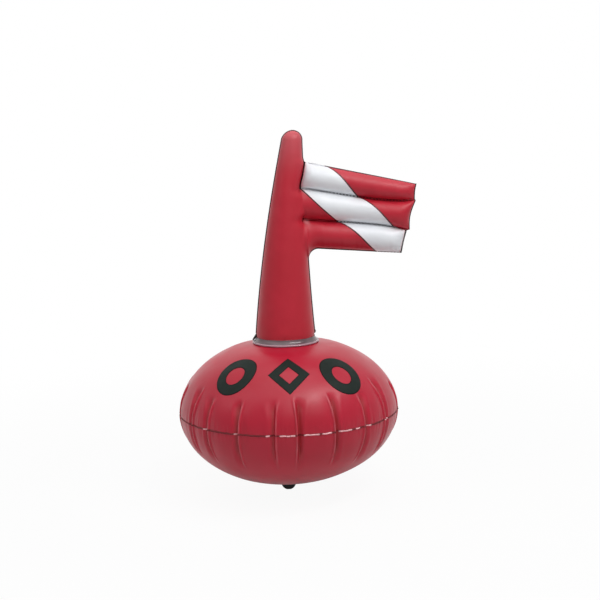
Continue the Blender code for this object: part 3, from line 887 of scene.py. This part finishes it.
def float_panel(name, side, valve_place):
    """One dome of film with its creases, seam puckers and weld rim."""
    rows = rim_points(side)
    columns = len(rows[0])
    marks = {
        "weld": [np.ones(columns)] * rim_rows,
        "fold": [np.zeros(columns)] * rim_rows,
        # painted glints along the weld rim, and painted highlights on the ridges below
        "pale": [rim_glint(panel_turns(0.0, side))] * rim_rows,
    }
    for row in range(panel_rows):
        rise = math.pi / 2.0 * pole_rest_share * (row / (panel_rows - 1.0)) ** panel_row_power
        turns = panel_turns(rise, side)
        rows.append(float_points(turns, rise, side, -film))
        shade = 1.0 - smooth_step(rise * float_half_height / weld_shade_reach)
        marks["weld"].append(np.full(columns, shade))
        # Painted shade: the film's colour is darkened where a crease draws it in
        pulled = float_pulls(turns, rise, side) / crease_depth
        folded = smooth_step((pulled - fold_start_share) / (1.0 - fold_start_share))
        marks["fold"].append(fold_strength * folded)
        # Painted highlight: thin pale lines on the ridges beside the creases, in patches
        patchy = 1.0 - ridge_patch_share + ridge_patch_share * ripple(turns + rise, ridge_ripples, side)
        marks["pale"].append(ridge_highlight_paint * patchy * smooth_step(-pulled / ridge_highlight_full_pull))
    faces = grid_faces(len(rows), columns, wrapped=True, flipped=side < 0.0)
    top = len(rows) * columns
    last = top - columns
    for column in range(columns):
        face = (last + column, last + (column + 1) % columns, top)
        faces.append(face if side > 0.0 else face[::-1])
    rows.append(float_points(np.zeros(1), math.pi / 2.0, side, -film))
    values = {mark: np.append(np.concatenate(lines), 0.0) for mark, lines in marks.items()}
    item = mesh_object(name, np.concatenate(rows), faces, values)
    if valve_place:
        open_hole(item, valve_place)
    thicken(item, film)
    return item


def dome_height(radius):
    """Height of the float's round upper skin above the origin at a radius from its axis."""
    return float_centre_z + gap / 2.0 + float_half_height * math.sqrt(1.0 - (radius / float_radius) ** 2)


def valve_frame(origin, out, up):
    """A frame on a film: Z along its normal, Y up its slope."""
    return Matrix.Translation(origin) @ Matrix((up.cross(out), up, out)).transposed().to_4x4()


def float_valve_frame():
    """The frame of the float's valve, on the rear of the upper panel."""
    rise = math.radians(90.0 - float_valve_polar_deg)
    turn = np.array([math.pi / 2.0])
    origin = Vector(float_skin(turn, rise, 1.0, 0.0, 0.0)[0])
    out = (Vector(float_skin(turn, rise, 1.0, film, 0.0)[0]) - origin).normalized()
    return valve_frame(origin, out, out.cross(Vector((-1.0, 0.0, 0.0))).normalized())


# Marks on the front, a ball, a diamond and a ball

def mark_reach(turn, pointed):
    """How far a mark's outline reaches at a turn, as a share of its half size."""
    return 1.0 / (abs(math.cos(turn)) + abs(math.sin(turn))) if pointed else 1.0


def printed_mark(name, pointed, turn_share, polar_deg):
    """One open mark of ink that follows the upper panel."""
    rise = math.radians(90.0 - polar_deg)
    along = math.hypot(float_radius * math.sin(rise), float_half_height * math.cos(rise))
    border = mark_outline / mark_half_width
    step = mark_outline_step_share * border
    shares = [mark_open_share, mark_open_share + border]
    shares += list(np.linspace(mark_open_share + step, 1.0 - step, mark_ring_steps))
    shares += [1.0 - border, 1.0]
    turns = []
    rises = []
    shades = []
    for share in shares:
        edge = share <= mark_open_share + border or share >= 1.0 - border
        for step in range(mark_turn_steps):
            turn = math.tau * step / mark_turn_steps
            reach = share * mark_reach(turn, pointed)
            rises.append(rise + reach * math.sin(turn) * mark_half_height / along)
            across = float_radius * math.cos(rises[-1])
            turns.append(math.tau * turn_share + reach * math.cos(turn) * mark_half_width / across)
            shades.append(float(edge))
    points = float_points(np.array(turns), np.array(rises), 1.0, print_lift)
    item = mesh_object(name, points, grid_faces(len(shares), mark_turn_steps, wrapped=True), {"weld": shades})
    middle = Vector(points.mean(axis=0)) - Vector((0.0, 0.0, float_centre_z))
    with edited(item) as bm:
        bm.normal_update()
        if sum((face.normal for face in bm.faces), Vector()).dot(middle) < 0.0:
            bmesh.ops.reverse_faces(bm, faces=bm.faces)
    thicken(item, mark_film)
    return item


# Mast and flag sheets

def mast_half_width(z):
    """Half the mast's width at a height, between its weld lines."""
    share = clamp((z - mast_foot_z) / (mast_tip_z - mast_foot_z))
    taper = mast_foot_radius + (mast_tip_radius - mast_foot_radius) * share
    return taper + mast_swell * math.sin(math.pi * share)


def mast_centre(z):
    """Sideways place of the mast's middle at a height."""
    share = max(0.0, (z - mast_foot_z) / (mast_tip_z - mast_foot_z))
    return mast_seat_x + (mast_bend - mast_seat_x) * share ** mast_bend_power


def root_shift(z):
    """How far the flag's seams draw the mast's right weld line in, less its bulge at the flag's top."""
    total = 0.0
    for place, size, reach_up, reach_down in (
        (flag_upper_seam_root, upper_root_pinch, upper_root_reach_up, root_pinch_reach),
        (flag_lower_seam_root, lower_root_pinch, root_pinch_reach, root_pinch_reach),
        (flag_top_root, -flag_corner_bulge, flag_corner_reach, flag_corner_reach),
    ):
        reach = reach_up if z > place else reach_down
        total += size * smooth_step(1.0 - abs(z - place) / reach)
    return total


def bow_share(share):
    """How much of its bow a seam has at a share of its length: most of it at two thirds of the way out."""
    share = clamp(share)
    power = flag_bow_power
    return share * (1.0 - share ** power) * (power + 1.0) ** (1.0 + 1.0 / power) / power


def line_height(x, root, tip, reach, bow):
    """Height of a weld line of the flag, from the mast to its far end."""
    share = (x - mast_foot_radius) / (reach - mast_foot_radius)
    return root + (tip - root) * share + bow * bow_share(share)


class Row:
    """One row of the sheets' points: the mast's part of it, and the flag's part where it has one."""

    def __init__(self, z, half_width, right_width, depth, rim, tube=None, share=0.0):
        self.z = z
        self.half_width = half_width
        self.right_width = right_width
        self.depth = depth
        self.rim = rim
        self.tube = tube
        self.share = share

    def root_x(self):
        """Where the row leaves the mast's right weld line."""
        return mast_centre(self.z) + self.right_width + self.rim


flag_lines = (
    (flag_bottom_root, flag_bottom_tip, flag_reach_bottom, 0.0),
    (flag_lower_seam_root, flag_lower_seam_tip, flag_reach_lower_seam, flag_lower_seam_bow),
    (flag_upper_seam_root, flag_upper_seam_tip, flag_reach_upper_seam, flag_upper_seam_bow),
    (flag_top_root, flag_top_tip, flag_reach_top, 0.0),
)
tube_reaches = (
    (flag_reach_bottom, flag_reach_lower_seam - flag_end_step_lower, flag_end_scallop_outer),
    (flag_reach_lower_seam, flag_reach_upper_seam, flag_end_scallop_middle),
    (flag_reach_upper_seam - flag_end_step_upper, flag_reach_top, flag_end_scallop_outer),
)


def tube_span(tube, x, root_x):
    """Lowest and highest place of a tube at a place along it."""
    bottom = line_height(x, *flag_lines[tube])
    top = line_height(x, *flag_lines[tube + 1])
    if tube == 0:
        along = clamp((root_x + flag_fillet_radius - x) / flag_fillet_radius)
        bottom -= flag_fillet_radius * (1.0 - math.sqrt(1.0 - along * along))
    else:
        bottom += flag_seam_width / 2.0
    if tube < 2:
        top -= flag_seam_width / 2.0
    return bottom, top


def flag_row_height(row, x, root_x):
    """Height of a flag row at a place along it."""
    bottom, top = tube_span(row.tube, x, root_x)
    return bottom + (top - bottom) * row.share


def flag_row_end(row):
    """How far out a flag row reaches, to its end weld."""
    lower, upper, scallop = tube_reaches[row.tube]
    return lower + (upper - lower) * row.share - scallop * math.sin(math.pi * clamp(row.share))


def tube_depth(row, x, root_x):
    """Half the thickness of the tube that a row lies on."""
    bottom, top = tube_span(row.tube, x, root_x)
    edge = math.radians(tube_edge_deg)
    turn = math.asin((2.0 * clamp(row.share) - 1.0) * math.sin(edge))
    depth = (top - bottom) / 2.0 * (math.cos(turn) - math.cos(edge)) / math.sin(edge)
    seam_share = 0 if row.share < 0.5 else 1
    return max(depth, flag_seam_fullness) if row.tube + seam_share in (1, 2) else depth


def closing(distance, length):
    """How much of its full depth a tube has at a distance from its end weld."""
    share = clamp(distance / length)
    return math.sqrt(share * (2.0 - share))


def mast_row(z, tube=None, share=0.0):
    """A row at a height of the mast."""
    half_width = mast_half_width(z)
    return Row(z, half_width, half_width - root_shift(z), half_width, weld_width, tube, share)


def flag_row(tube, share):
    """A row that runs over the mast and out along a tube of the flag, found in a few rounds."""
    row = mast_row(flag_lines[tube][0], tube, share)
    for _ in range(flag_row_rounds):
        root_x = row.root_x()
        row = mast_row(flag_row_height(row, root_x, root_x), tube, share)
    return row


def tube_height(tube):
    """Height of a tube where it leaves the mast."""
    bottom, top = tube_span(tube, mast_foot_radius, -mast_foot_radius)
    return top - bottom


def tip_row(height):
    """A row of the mast's round tip at a height above the tip's centre, with the weld round it."""
    outer = mast_tip_radius + weld_width
    reach = math.sqrt(outer ** 2 - height ** 2)
    inner = math.sqrt(max(mast_tip_radius ** 2 - height ** 2, 0.0))
    half_width = max(inner, reach / 2.0)
    return Row(mast_tip_z + height, half_width, half_width, inner, reach - half_width)


def sheet_rows():
    """All rows of the sheets, from the mast's seat up to its tip."""
    rows = []
    for step in range(mast_seat_rows):
        z = mast_seat_z - collar_dip + (mast_seat_height + collar_dip) * step / (mast_seat_rows - 1.0)
        rows.append(Row(z, mast_seat_radius, mast_seat_radius, mast_seat_radius, gap))
    flag_foot = flag_bottom_root - flag_fillet_radius
    for step in range(mast_plain_rows):
        rows.append(mast_row(mast_foot_z + (flag_foot - weld_width - mast_foot_z) * step / mast_plain_rows))
    for tube in range(3):
        if tube == 0:
            rows.append(flag_row(0, -weld_width / tube_height(0)))
        for share in crowded(tube_cells):
            rows.append(flag_row(tube, share))
        if tube == 2:
            rows.append(flag_row(2, 1.0 + weld_width / tube_height(2)))
    top = rows[-1].z
    for step in range(1, mast_upper_rows):
        rows.append(mast_row(top + (mast_tip_z - top) * step / mast_upper_rows))
    for step in range(mast_tip_steps + 1):
        rows.append(tip_row(mast_tip_radius * math.sin(math.pi / 2.0 * step / mast_tip_steps)))
    for share in mast_tip_weld_shares:
        rows.append(tip_row(mast_tip_radius + weld_width * share))
    return rows


def seam_wrinkle(row, x, depth, root_x):
    """Small folds that run out of a tube's seams."""
    bottom, top = tube_span(row.tube, x, root_x)
    within = clamp(row.share)
    turns = [math.tau / length for length in flag_pucker_lengths]
    total = 0.0
    for edge, distance in enumerate((within * (top - bottom), (1.0 - within) * (top - bottom))):
        phase = flag_pucker_phase * (row.tube + edge)
        total += near_weld(distance, flag_pucker_reach) * ripple(x, turns, phase)
    return flag_pucker * total * smooth_step(depth / flag_pucker_reach)


def sheet_point(x, depth, z):
    """A point of the front sheet at a depth from the plane between the sheets."""
    return Vector((x, -gap / 2.0 - depth, z))


def mast_point(row, turn, side):
    """A point of a sheet on the mast. turn runs from 0 at the left weld line to pi at the right one."""
    centre = mast_centre(row.z)
    offset = -math.cos(turn) * (row.half_width if turn < math.pi / 2.0 else row.right_width)
    depth = row.depth * math.sin(turn)
    if row.tube in (0, 1):
        root_x = centre + row.right_width
        fade = (offset / row.right_width - root_fade_start_share) / (1.0 - root_fade_start_share)
        across = tube_depth(row, root_x, root_x) * (1.0 - root_sink_share) * smooth_step(fade)
        depth = (depth ** root_blend + across ** root_blend) ** (1.0 / root_blend)
    place = Vector((centre + offset, side * depth, row.z))
    depth += mast_unevenness * math.sin(turn) * noise.noise(place / mast_unevenness_scale)
    return sheet_point(centre + offset, depth, row.z)


def flag_point(row, x, root_x, end, side):
    """A point of a sheet on the flag."""
    depth = tube_depth(row, x, root_x) * closing(end - x, flag_end_closing)
    if row.tube == 2:
        depth *= closing(x - root_x, flag_root_closing)
    else:
        depth *= 1.0 - root_sink_share * (1.0 - smooth_step((x - root_x) / root_sink_length))
    depth += seam_wrinkle(row, x + 0.5 * side * flag_pucker_reach, depth, root_x)
    return sheet_point(x, depth, flag_row_height(row, x, root_x))


def seam_shade(row, x, root_x):
    """How dark the pressed seam between two tubes is: dotted, and fainter near the mast."""
    if 0.0 < row.share < 1.0:
        return 0.0
    if row.tube + row.share in (0.0, 3.0):
        return 1.0
    dots = smooth_step(0.5 + seam_dot_contrast * math.sin(math.tau * x / seam_dot_length))
    fade = smooth_step((x - root_x - seam_dark_start) / (seam_dark_end - seam_dark_start))
    return seam_darkness * dots * fade


def painted_film_highlight(row, x, root_x):
    """Painted highlight: at the mast's tip, and at the root of each tube that another one lies above."""
    tip = tip_highlight_paint * smooth_step(1.0 - (mast_top_z - row.z) / tip_highlight_reach)
    if row.tube not in (0, 1):
        return tip
    across = smooth_step(1.0 - (1.0 - min(row.share, 1.0)) / root_highlight_share)
    return root_highlight_paint * across * smooth_step(1.0 - abs(x - root_x - root_highlight_place) / root_highlight_reach)


def row_points(row, side):
    """Points of one row from the left rim to the right rim or the flag's far end, and their weld marks."""
    centre = mast_centre(row.z)
    flat = row.depth == 0.0
    points = [sheet_point(centre - row.half_width - row.rim, 0.0, row.z)]
    welds = [1.0]
    joined = row.tube in (0, 1)
    for column in range(mast_columns + 1):
        points.append(mast_point(row, math.pi * column / mast_columns, side))
        welds.append(1.0 if flat or column == 0 or (column == mast_columns and not joined) else 0.0)
    root_x = row.root_x()
    if row.tube is None:
        points.append(sheet_point(root_x, 0.0, row.z))
        welds.append(1.0)
        return points, welds
    end = flag_row_end(row)
    outer = row.share < 0.0 or row.share > 1.0
    for share in crowded(flag_columns):
        x = root_x + (end - root_x) * share
        points.append(flag_point(row, x, root_x, end, side))
        at_edge = outer or share == 1.0 or (share == 0.0 and not joined)
        welds.append(1.0 if at_edge else seam_shade(row, x, root_x))
    points.append(sheet_point(end + weld_width, 0.0, flag_row_height(row, end, root_x)))
    welds.append(1.0)
    return points, welds


def film_point(point, side):
    """A front point as it lies on a side's film, with the slow wave that both films share."""
    wave = flag_rim_wave * noise.noise(Vector((point.x, 0.0, point.z)) / flag_pucker_lengths[2])
    return point.x, side * point.y + wave, point.z


def sheet(name, side, valve_place):
    """One film of the mast and flag. side is 1 for the front and -1 for the rear."""
    points = []
    welds = []
    pale = []
    grid = []
    for row in sheet_rows():
        line, marks = row_points(row, side)
        grid.append(range(len(points), len(points) + len(line)))
        for point in line:
            points.append(film_point(point, side))
            pale.append(painted_film_highlight(row, point.x, row.root_x()))
        welds.extend(marks)
    faces = []
    for lower, upper in zip(grid[:-1], grid[1:]):
        for column in range(min(len(lower), len(upper)) - 1):
            face = (lower[column], lower[column + 1], upper[column + 1], upper[column])
            faces.append(face if side > 0.0 else face[::-1])
    item = mesh_object(name, points, faces, {"weld": welds, "pale": pale})
    if valve_place:
        open_hole(item, valve_place)
    thicken(item, film)
    return item


def border_share(row, bow):
    """How far along its crossing of a tube a border of the stripe is, less its bow."""
    share = clamp(row.share)
    place = stripe_bow_place_share
    rest = math.sqrt((1.0 - share) / (1.0 - place))
    return share - bow * (share / place) ** stripe_bow_power * rest


def stripe_limits(row, root_x, end):
    """Where the stripe's left and right borders cross a row. On the lowest tube it runs to the far end."""
    lefts = (stripe_left_at_bottom, stripe_left_at_lower_seam, stripe_left_at_upper_seam, 0.0)
    rights = (end, stripe_right_at_lower_seam, stripe_right_at_upper_seam, stripe_right_at_top)
    crossed = border_share(row, stripe_left_bow_shares[row.tube])
    left = lefts[row.tube] + (lefts[row.tube + 1] - lefts[row.tube]) * crossed
    crossed = border_share(row, stripe_right_bow_share) if row.tube else 0.0
    right = rights[row.tube] + (rights[row.tube + 1] - rights[row.tube]) * crossed
    return max(left, root_x + stripe_edge_margin), min(right, end - stripe_edge_margin)


def stripe(name, side):
    """The white diagonal film on one side of the flag, with a fine dark line along both borders."""
    points = []
    welds = []
    pale = []
    rows = [row for row in sheet_rows() if row.tube is not None]
    for row in rows:
        root_x = row.root_x()
        end = flag_row_end(row)
        left, right = stripe_limits(row, root_x, end)
        bare = row.tube == 2 and row.share >= 1.0
        places = [left - stripe_border, left - stripe_border_step]
        places += list(left + (right - left) * crowded(stripe_columns))
        places += [right + stripe_border_step, right + stripe_border]
        for x in places:
            point = flag_point(row, x, root_x, end, side)
            points.append(film_point(point, side))
            inside = left <= x <= right
            shade = 0.0 if bare else seam_shade(row, x, root_x)
            welds.append(shade if inside else 1.0)
            # Painted highlight: a pale line just inside each border
            edge = 1.0 - smooth_step(min(x - left, right - x) / stripe_highlight_edge)
            pale.append(edge if inside else 0.0)
    faces = grid_faces(len(rows), len(places), flipped=side < 0.0)
    item = mesh_object(name, points, faces, {"weld": welds, "pale": pale})
    with edited(item) as bm:
        bm.normal_update()
        lifts = [vert.normal * min(vert.calc_shell_factor(), shell_limit) for vert in bm.verts]
        for vert, lift in zip(bm.verts, lifts):
            vert.co += lift * (film + print_lift)
    thicken(item, stripe_film)
    return item


def mast_valve_frame():
    """The frame of the mast's valve, on the rear sheet and in line with the mast."""
    z = mast_valve_height
    step = valve_skirt_depth
    low = Vector((mast_centre(z), gap / 2.0 + mast_half_width(z), z))
    high = Vector((mast_centre(z + step), gap / 2.0 + mast_half_width(z + step), z + step))
    up = (high - low).normalized()
    out = Vector((-1.0, 0.0, 0.0)).cross(up).normalized()
    return valve_frame(low + out * film, out, up)


# Collar and the seam ends beside it

def collar(name):
    """The smoky ring that welds the mast to the float: a thin flared web and a paler rolled bead."""
    neck = mast_seat_radius + film + gap
    foot_z = dome_height(collar_foot_radius) - collar_dip + gap
    top_z = foot_z + collar_height
    bead_r = collar_foot_radius - collar_bead
    bead_z = foot_z + collar_bead
    outer = []
    bead = []
    inner = []
    for share in even(collar_profile_steps):
        radius = neck + (bead_r - neck) * share ** collar_flare_power
        height = top_z - (top_z - bead_z - collar_bead / 2.0) * share
        thickness = collar_film * (collar_film_top_share + (1.0 - collar_film_top_share) * share)
        outer.append((radius + thickness, height))
        inner.append((radius, height))
        turn = math.radians(collar_bead_start_deg - collar_bead_sweep_deg * share)
        bead.append((bead_r + collar_bead * math.cos(turn), bead_z + collar_bead * math.sin(turn)))
    # The weld marks pick the bead's colour, paler partly as a painted highlight
    shades = [0.0] * collar_profile_steps + [collar_foot_shade] + [1.0] * len(bead) + [0.0] * len(inner)
    item = turned(name, outer + bead + inner[::-1], collar_steps, shades)
    roughen(item, collar_unevenness, collar_foot_radius * collar_unevenness_share)
    item.data.transform(Matrix.Translation((mast_seat_x, 0.0, 0.0)))
    return item


def seam_end(name, side):
    """The black tab that seals the lower end of one of the mast's side welds."""
    edge = mast_foot_radius + weld_width
    low = mast_seat_z - collar_dip
    if side < 0.0:
        outline = (
            (edge - weld_width, mast_foot_z - weld_width), (edge, mast_foot_z - weld_width),
            (collar_foot_radius, low + weld_width), (collar_foot_radius - weld_width / 2.0, low),
            (mast_seat_radius + weld_width, low + 2.0 * weld_width),
            (edge - weld_width, mast_seat_z + weld_width),
        )
    else:
        half = ear_height_share * weld_width
        outline = (
            (edge - weld_width, mast_foot_z + half), (edge, mast_foot_z + half),
            (edge + weld_width / 2.0, mast_foot_z), (edge, mast_foot_z - half),
            (edge - weld_width, mast_foot_z - half),
        )
    item = slab(name, [(side * x, z) for x, z in outline], ear_thickness, ear_thickness * ear_edge_share)
    settle(item)
    item.data.transform(Matrix.Translation((mast_seat_x, 0.0, 0.0)))
    return item


# Line lug, patch and inner disc

def under_float(reach, drop):
    """Points from the axis out to a radius, a drop below the float's lower skin."""
    radii = [reach * step / dome_steps for step in range(dome_steps + 1)]
    return [(radius, 2.0 * float_centre_z - dome_height(radius) - drop) for radius in radii]


def bottom_patch(name):
    """The reinforcing disc with its pressed weld ring."""
    lower = under_float(patch_radius, gap + patch_film)
    edge_r = patch_radius
    pressed = []
    for radius in (edge_r - patch_weld / 2.0, edge_r - patch_weld):
        base = 2.0 * float_centre_z - dome_height(radius) - gap - patch_film
        pressed.append((radius, base + patch_weld_depth))
    outline = under_float(patch_radius, gap) + lower[-1:] + pressed + lower[-3::-1]
    return turned(name, rounded(outline, patch_film / edge_rounding_parts), patch_steps)


def line_lug(name):
    """The moulded tongue with its round base and its ringed eye."""
    top = under_float(lug_base_radius, 2.0 * gap + patch_film)
    low = top[0][1] - lug_base_thickness
    outline = top + [(lug_base_radius, low + film), (lug_width / 2.0, low), (0.0, low)]
    item = turned(name, rounded(outline, film), patch_steps)
    radius = lug_width / 2.0
    last_turn = math.acos(lug_flat_width / lug_width)
    round_z = radius * math.sin(last_turn)
    right = [(radius, low + lug_base_thickness / 2.0)]
    for step in range(lug_round_steps + 1):
        turn = last_turn * step / lug_round_steps
        right.append((radius * math.cos(turn), round_z - radius * math.sin(turn)))
    tongue = right + [(-x, z) for x, z in reversed(right)]
    join_shape(item, slab(name + "_tongue", tongue, lug_thickness, lug_edge_bevel), "UNION")
    place = Matrix.Translation((0.0, 0.0, lug_drop - lug_eye_depth)) @ Matrix.Rotation(math.pi / 2.0, 4, "X")
    half = lug_thickness / 2.0 + lug_eye_ring_height
    for radius, reach, rounding, operation in (
        (lug_eye_radius + lug_eye_ring, half, film, "UNION"),
        (lug_eye_radius, lug_thickness, 0.0, "DIFFERENCE"),
    ):
        outline = [(0.0, -reach), (radius, -reach), (radius, reach), (0.0, reach)]
        if rounding:
            outline = rounded(outline, rounding)
        round_piece = turned(name + "_round", outline, lug_eye_steps)
        round_piece.data.transform(place)
        join_shape(item, round_piece, operation)
    return item


# Valves

def strap_band(name, near, low, high):
    """The strap from the flange to the cap: a flat foot, a smooth rise and a short hook."""
    thick = valve_strap_thickness
    foot = -valve_flange_radius + gap
    path = []
    for share in even(valve_strap_steps):
        y = foot + (near - thick / 2.0 - foot) * math.sin(math.pi / 2.0 * share)
        path.append(Vector((0.0, y, low + thick / 2.0 + (high - low) * share ** valve_strap_rise_power)))
    points = []
    last = len(path) - 1
    for index, place in enumerate(path):
        along = (path[min(index + 1, last)] - path[max(index - 1, 0)]).normalized()
        up = Vector((1.0, 0.0, 0.0)).cross(along)
        width = valve_strap_width * (1.0 if 0 < index < last else valve_strap_end_share)
        for across, lift in strap_section_shares:
            points.append(place + Vector((across * width, 0.0, 0.0)) + up * lift * thick)
    ring = len(strap_section_shares)
    faces = grid_faces(len(path), ring, wrapped=True)
    faces.append(tuple(range(ring))[::-1])
    faces.append(tuple(range(last * ring, (last + 1) * ring)))
    item = mesh_object(name, points, faces)
    face_outward(item)
    return item


def stopper(name, cap_low, plug):
    """The stopper: a crowned cap with finger grips round its edge, and a slightly tapered plug."""
    top = cap_low + valve_cap_thickness
    plug_end = cap_low - valve_plug_length
    outline = [
        (0.0, top), (valve_crown_share * valve_cap_radius, top),
        (valve_cap_radius, cap_low + valve_cap_edge_share * valve_cap_thickness), (valve_cap_radius, cap_low),
        (plug, cap_low), (plug - valve_plug_taper, plug_end), (0.0, plug_end),
    ]
    item = turned(name, rounded(outline, valve_rounding), valve_steps * 2)
    for vert in item.data.vertices:
        if math.hypot(vert.co.x, vert.co.y) > valve_grip_start_share * valve_cap_radius:
            wave = (1.0 + math.cos(valve_grips * math.atan2(vert.co.y, vert.co.x))) / 2.0
            vert.co.x *= 1.0 - valve_grip_share * wave
            vert.co.y *= 1.0 - valve_grip_share * wave
    return item


def valve_set(prefix, place, bend_radius, finish):
    """Flange, stem, check flap, stopper and strap of one valve, each on its body."""
    bore = valve_stem_radius + gap
    top = gap + valve_flange_thickness
    inner = valve_stem_radius - valve_stem_wall
    lip_low = top + gap
    lip_top = lip_low + valve_stem_lip
    edge = [(radius * valve_flange_radius, height * top) for radius, height in valve_flange_edge_shares]
    flange = turned(prefix + "_flange_film", rounded([
        (bore, top), (bore, -valve_skirt_depth), (valve_skirt_radius, -valve_skirt_depth),
        (valve_skirt_radius, gap), (valve_flange_radius, gap), *edge,
    ], valve_rounding), valve_steps)
    for vert in flange.data.vertices:
        beyond = max(0.0, abs(vert.co.x) - valve_skirt_radius / 2.0)
        vert.co.z -= beyond * abs(vert.co.x) / (2.0 * bend_radius)
    stop_top = valve_stem_stop_height - valve_stem_depth
    stem = turned(prefix + "_stem_tube", rounded([
        (inner, lip_top), (inner, -valve_stem_depth), (valve_stem_stop_radius, -valve_stem_depth),
        (valve_stem_stop_radius, stop_top), (valve_stem_radius, stop_top), (valve_stem_radius, lip_low),
        (valve_stem_lip_radius, lip_low), (valve_stem_lip_radius, lip_top),
    ], valve_rounding), valve_steps)
    flap_top = -valve_stem_depth - gap
    flap_low = flap_top - valve_flap_thickness
    flap_radius = valve_stem_stop_radius - gap
    dish_radius_share, dish_depth_share = valve_flap_dish_shares
    dish = (dish_radius_share * flap_radius, flap_top - dish_depth_share * valve_flap_thickness)
    flap = turned(prefix + "_flap_disc", rounded([
        (0.0, flap_top), (flap_radius, flap_top), (flap_radius, flap_low), dish, (0.0, flap_low),
    ], valve_flap_thickness / edge_rounding_parts), valve_steps)
    cap_low = lip_top + gap
    cap = stopper(prefix + "_stopper_cap", cap_low, inner - gap)
    strap_high = cap_low + valve_cap_thickness - valve_strap_thickness
    strap = strap_band(prefix + "_strap_band", -valve_cap_radius - gap, lip_low, strap_high)
    for item, part, body, key in (
        (flange, "_flange", float_body, "valve"), (stem, "_stem", prefix + "_stem", "valve"),
        (flap, "_flap", prefix + "_flap", "valve"), (cap, "_stopper", prefix + "_stopper", "cap"),
        (strap, "_strap", float_body, "cap"),
    ):
        item.data.transform(place)
        place_piece(item, finish[key], body, "valve_body" if key == "valve" else "valve_cap", prefix + part)


# Stage

def aim(item, place, target, roll=0.0):
    """Put a camera or lamp at a place, looking at a target."""
    forward = (Vector(target) - Vector(place)).normalized()
    right = forward.cross(Vector((0.0, 0.0, 1.0))).normalized()
    up = right.cross(forward)
    turned_right = right * math.cos(roll) - up * math.sin(roll)
    turned_up = up * math.cos(roll) + right * math.sin(roll)
    basis = Matrix((turned_right, turned_up, -forward)).transposed().to_4x4()
    item.matrix_world = Matrix.Translation(place) @ basis


def make_camera():
    """The photograph's camera."""
    data = bpy.data.cameras.new("camera")
    data.sensor_width = sensor_width_mm
    data.sensor_fit = "HORIZONTAL"
    data.lens = camera_focal_pixels * sensor_width_mm / photo_pixels
    bpy.context.scene.camera = linked("camera", data)
    aim(bpy.context.scene.camera, camera_place, camera_target, camera_roll)


def make_lamp(name, place, target, width, height, power, mirrored=True):
    """A soft box. One that isn't mirrored leaves no highlights."""
    data = bpy.data.lights.new(name, "AREA")
    data.shape = "RECTANGLE"
    data.size = width
    data.size_y = height
    data.energy = power
    item = linked(name, data)
    item.visible_glossy = mirrored
    aim(item, place, target)


def seen_ray(nodes):
    """1 for camera, glossy and transmission rays, 0 for the others."""
    seen = nodes.add("LightPath", {}, "Is Camera Ray")
    for name in ("Is Glossy Ray", "Is Transmission Ray"):
        seen = nodes.add("Math", {0: seen, 1: nodes.add("LightPath", {}, name)}, operation="MAXIMUM")
    return seen


def make_world():
    """White where it is seen, and a soft fill light elsewhere."""
    world = bpy.data.worlds.new("studio")
    bpy.context.scene.world = world
    nodes = Nodes(world)
    strength = nodes.add("MapRange", {"Value": seen_ray(nodes), "To Min": world_fill})
    nodes.fill(nodes.tree.nodes["Background"], {"Color": white, "Strength": strength})


def make_floor():
    """A pale floor with a faint shadow near the object. Highlights show it darker under the float."""
    half = floor_size / 2.0
    corners = [(-half, -half, 0.0), (half, -half, 0.0), (half, half, 0.0), (-half, half, 0.0)]
    floor = mesh_object("floor", corners, [(0, 1, 2, 3)])
    nodes = Nodes(bpy.data.materials.new("floor"))
    reach = nodes.add("VectorMath", {0: nodes.add("TexCoord", {}, "Object")}, "Value", operation="LENGTH")
    fading = (
        (floor_fade_start, floor_fade_end, 1.0 - floor_shadow, "SMOOTHSTEP"),
        (floor_under_start, floor_under_end, floor_under, "LINEAR"),
    )
    near, under = [
        nodes.add("MapRange", {"Value": reach, "From Min": start, "From Max": end, "To Min": low},
                  interpolation_type=kind)
        for start, end, low, kind in fading
    ]
    dimmed = nodes.add("Mix", {"Factor": nodes.add("LightPath", {}, "Is Glossy Ray"), "A": 1.0, "B": under})
    glowing = nodes.product(nodes.product(seen_ray(nodes), near), dimmed)
    surface = nodes.add("MixShader", {
        "Fac": glowing,
        1: nodes.add("BsdfDiffuse", {"Color": floor_colour}),
        2: nodes.add("Emission", {"Color": white}),
    })
    nodes.fill(nodes.tree.nodes["Material Output"], {"Surface": surface})
    floor.data.materials.append(nodes.owner)


def main():
    """Make the stage, the finishes and all pieces."""
    bpy.context.scene.view_settings.view_transform = "Standard"
    make_camera()
    make_world()
    make_floor()
    for name, settings in lamps.items():
        make_lamp(name, *settings)
    finish = make_materials()
    float_valve = float_valve_frame()
    mast_valve = mast_valve_frame()
    for node, side, hole in (("float_upper_panel", 1.0, float_valve), ("float_lower_panel", -1.0, None)):
        place_piece(float_panel(node + "_film", side, hole), finish["red"], float_body, "red_film", node)
    for face, side, hole in (("front", 1.0, None), ("rear", -1.0, mast_valve)):
        node = "mast_" + face + "_sheet"
        place_piece(sheet(node + "_film", side, hole), finish["sheet"], float_body, "red_film", node)
        node = "flag_stripe_" + face
        place_piece(stripe(node + "_film", side), finish["white"], float_body, "white_film", node)
    for settings in marks_printed:
        place_piece(printed_mark(*settings), finish["ink"], float_body, "black_lug")
    place_piece(collar("mast_collar_ring"), finish["collar"], float_body, "clear_collar", "mast_collar")
    for name, side in (("left", -1.0), ("right", 1.0)):
        place_piece(seam_end(name + "_seam_end", side), finish["lug"], float_body, "black_lug")
    place_piece(bottom_patch("bottom_patch_disc"), finish["red"], float_body, "red_film", "bottom_patch")
    place_piece(line_lug("line_lug_tongue"), finish["lug"], float_body, "black_lug", "line_lug")
    valve_set("float_valve", float_valve, float_radius, finish)
    valve_set("mast_valve", mast_valve, mast_half_width(mast_valve_height), finish)
    set_material(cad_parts["mast_base_disc"], finish["red"])


main()
